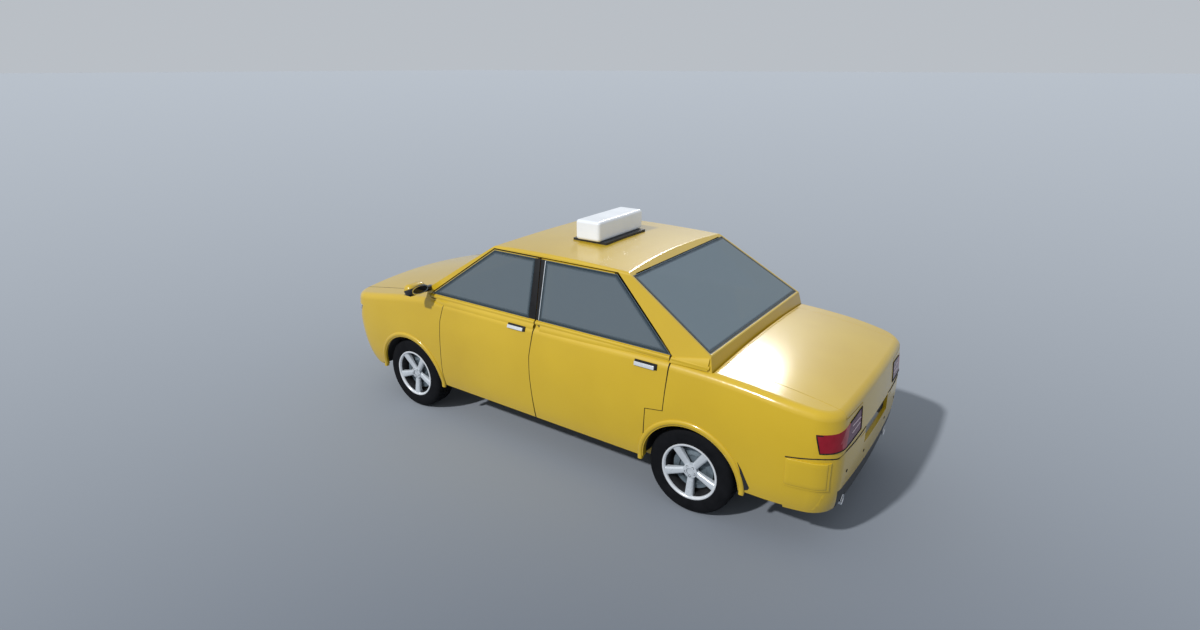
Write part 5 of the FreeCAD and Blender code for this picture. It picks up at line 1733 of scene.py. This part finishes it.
def on_screen(y, rise, proud):
    """A point on the windscreen: so far up the glass from its lower edge, and so far off it."""
    up = Vector((-0.843, 0.0, 0.538)).normalized()
    return Vector((screen_low.x, y, screen_low.z)) + up * rise + screen_normal * proud


wipers = []
for y, length in WIPER_PIVOTS:
    tip = y - length * 0.92
    arm = tube([on_screen(y, 0.012, 0.010), on_screen(y - 0.06, 0.030, 0.013),
                on_screen((y + tip) / 2, 0.075, 0.014)], 0.0045, 3)
    blade = tube([on_screen(y - 0.02, 0.060, 0.0085), on_screen((y + tip) / 2, 0.075, 0.0090),
                  on_screen(tip, 0.085, 0.0085)], 0.0040, 3)
    wipers += [arm, blade]
finish_piece(join(wipers), "wipers", rubber, "root", angle=60)
print("wipers", len(WIPER_PIVOTS))

# %% engine cover
COVER_X, COVER_HALF, COVER_HEIGHT = (1.300, 1.860), 0.250, 0.014
RIB_ROWS, RIB_HALF, RIB_RISE, RIB_INSET = (-0.16, -0.08, 0.08, 0.16), 0.012, 0.005, 0.030
CAP_X, CAP_R, CAP_HEIGHT = 1.420, 0.030, 0.012

engine_top = skin((1.58, 0, 0), TOP_CAST, ["engine_block"])[0].z
cover = start_block((COVER_X[0], -COVER_HALF, engine_top - 0.001),
                    (COVER_X[1], COVER_HALF, engine_top + COVER_HEIGHT))
round_edges(cover, 0.006, 3)
parts_on_top = [cover]
for y in RIB_ROWS:
    rib_base = engine_top + COVER_HEIGHT - 0.001
    rib = start_block((COVER_X[0] + RIB_INSET, y - RIB_HALF, rib_base),
                      (COVER_X[1] - RIB_INSET, y + RIB_HALF, rib_base + RIB_RISE + 0.001))
    round_edges(rib, 0.002, 2)
    parts_on_top.append(rib)
cap = start_rod((CAP_X, 0.0, engine_top + COVER_HEIGHT - 0.001), (0, 0, 1), CAP_R, CAP_HEIGHT, 24)
round_edges(cap, 0.003, 2)
parts_on_top.append(cap)
finish_piece(join(parts_on_top), "engine_cover", plastic, "root")
print("engine cover top", round(engine_top, 3))

# %% boot carpet
BOOT_MAT_X, BOOT_MAT_HALF, BOOT_MAT_T = (-1.980, -1.500), 0.480, 0.007

boot_floor = skin((-1.75, 0, 0), TOP_CAST, ["floor_pan"])[0].z
boot_mat = start_block((BOOT_MAT_X[0], -BOOT_MAT_HALF, boot_floor - 0.001),
                       (BOOT_MAT_X[1], BOOT_MAT_HALF, boot_floor + BOOT_MAT_T))
round_edges(boot_mat, 0.003, 2)
finish_piece(boot_mat, "boot_carpet", carpet, "root")
print("boot carpet at z", round(boot_floor, 3))

# %% [markdown]
# ## Floor and light
# The studio is as plain as a product shot: a matt floor that pales with distance until it meets the same
# grey-blue air above the horizon, one sun-like lamp from the left for a clear shadow, and one bright panel
# far off on the right that only draws highlights along the lid, the roof edge and the shoulders. The floor's
# paling is a colour on its Object coordinates, so it stays on the floor wherever the car is viewed from.

# %% floor
AIR = (0.49, 0.521, 0.560)
FLOOR_NEAR = (0.175, 0.198, 0.235)
FLOOR_DEEPEST_AT = (-3.035, 4.401, 2.895)
PALING = 1.2

clear_selection()
bpy.ops.mesh.primitive_plane_add(size=700, location=ORIGIN)
floor = bpy.context.object
floor.name = "floor"
floor_mat, tree, shader = new_material("studio_floor")
coords = object_coords(tree)
distance = add_node(tree, "VectorMath", operation="DISTANCE")
link(tree, coords, "Object", distance, 0)
distance.inputs[1].default_value = FLOOR_DEEPEST_AT
falloff = add_node(tree, "Math", {0: PALING}, operation="DIVIDE")
link(tree, distance, "Value", falloff, 1)
share = span(tree, falloff, "Value", AIR[0] - FLOOR_NEAR[0], 0.0, 0.0, 1.0)
colour = ramp(tree, share, "Result", FLOOR_NEAR, AIR)
link(tree, colour, "Color", shader, "Base Color")
set_shader(shader, Roughness=1.0, Specular_IOR_Level=0.0)
floor.data.materials.append(floor_mat)

# %% lamps
SUN_FROM = Vector((0.30, 1.13, 1.0))
SUN_STRENGTH = 2.5
SUN_SPREAD_DEG = 2.5
GLEAM_FROM = Vector((0.29, -0.77, 0.57))
GLEAM_STRENGTH = 1.3
GLEAM_SPREAD_DEG = 15.0



def sun_lamp(name, direction, strength, spread):
    data = bpy.data.lights.new(name, "SUN")
    data.energy = strength
    data.angle = math.radians(spread)
    lamp = bpy.data.objects.new(name, data)
    lamp.rotation_euler = (-direction).to_track_quat("-Z", "Y").to_euler()
    scene.collection.objects.link(lamp)
    return lamp


sun_lamp("sun_lamp", SUN_FROM, SUN_STRENGTH, SUN_SPREAD_DEG)
gleam = sun_lamp("gleam_lamp", GLEAM_FROM, GLEAM_STRENGTH, GLEAM_SPREAD_DEG)
gleam.visible_diffuse = False

world = bpy.data.worlds.new("studio")
scene.world = world
world.use_nodes = True
back = world.node_tree.nodes["Background"]
back.inputs["Color"].default_value = (*AIR, 1)
back.inputs["Strength"].default_value = 1.0
scene.view_settings.view_transform = "Standard"
print("lamps ready, sun from", [round(v, 2) for v in SUN_FROM.normalized()])
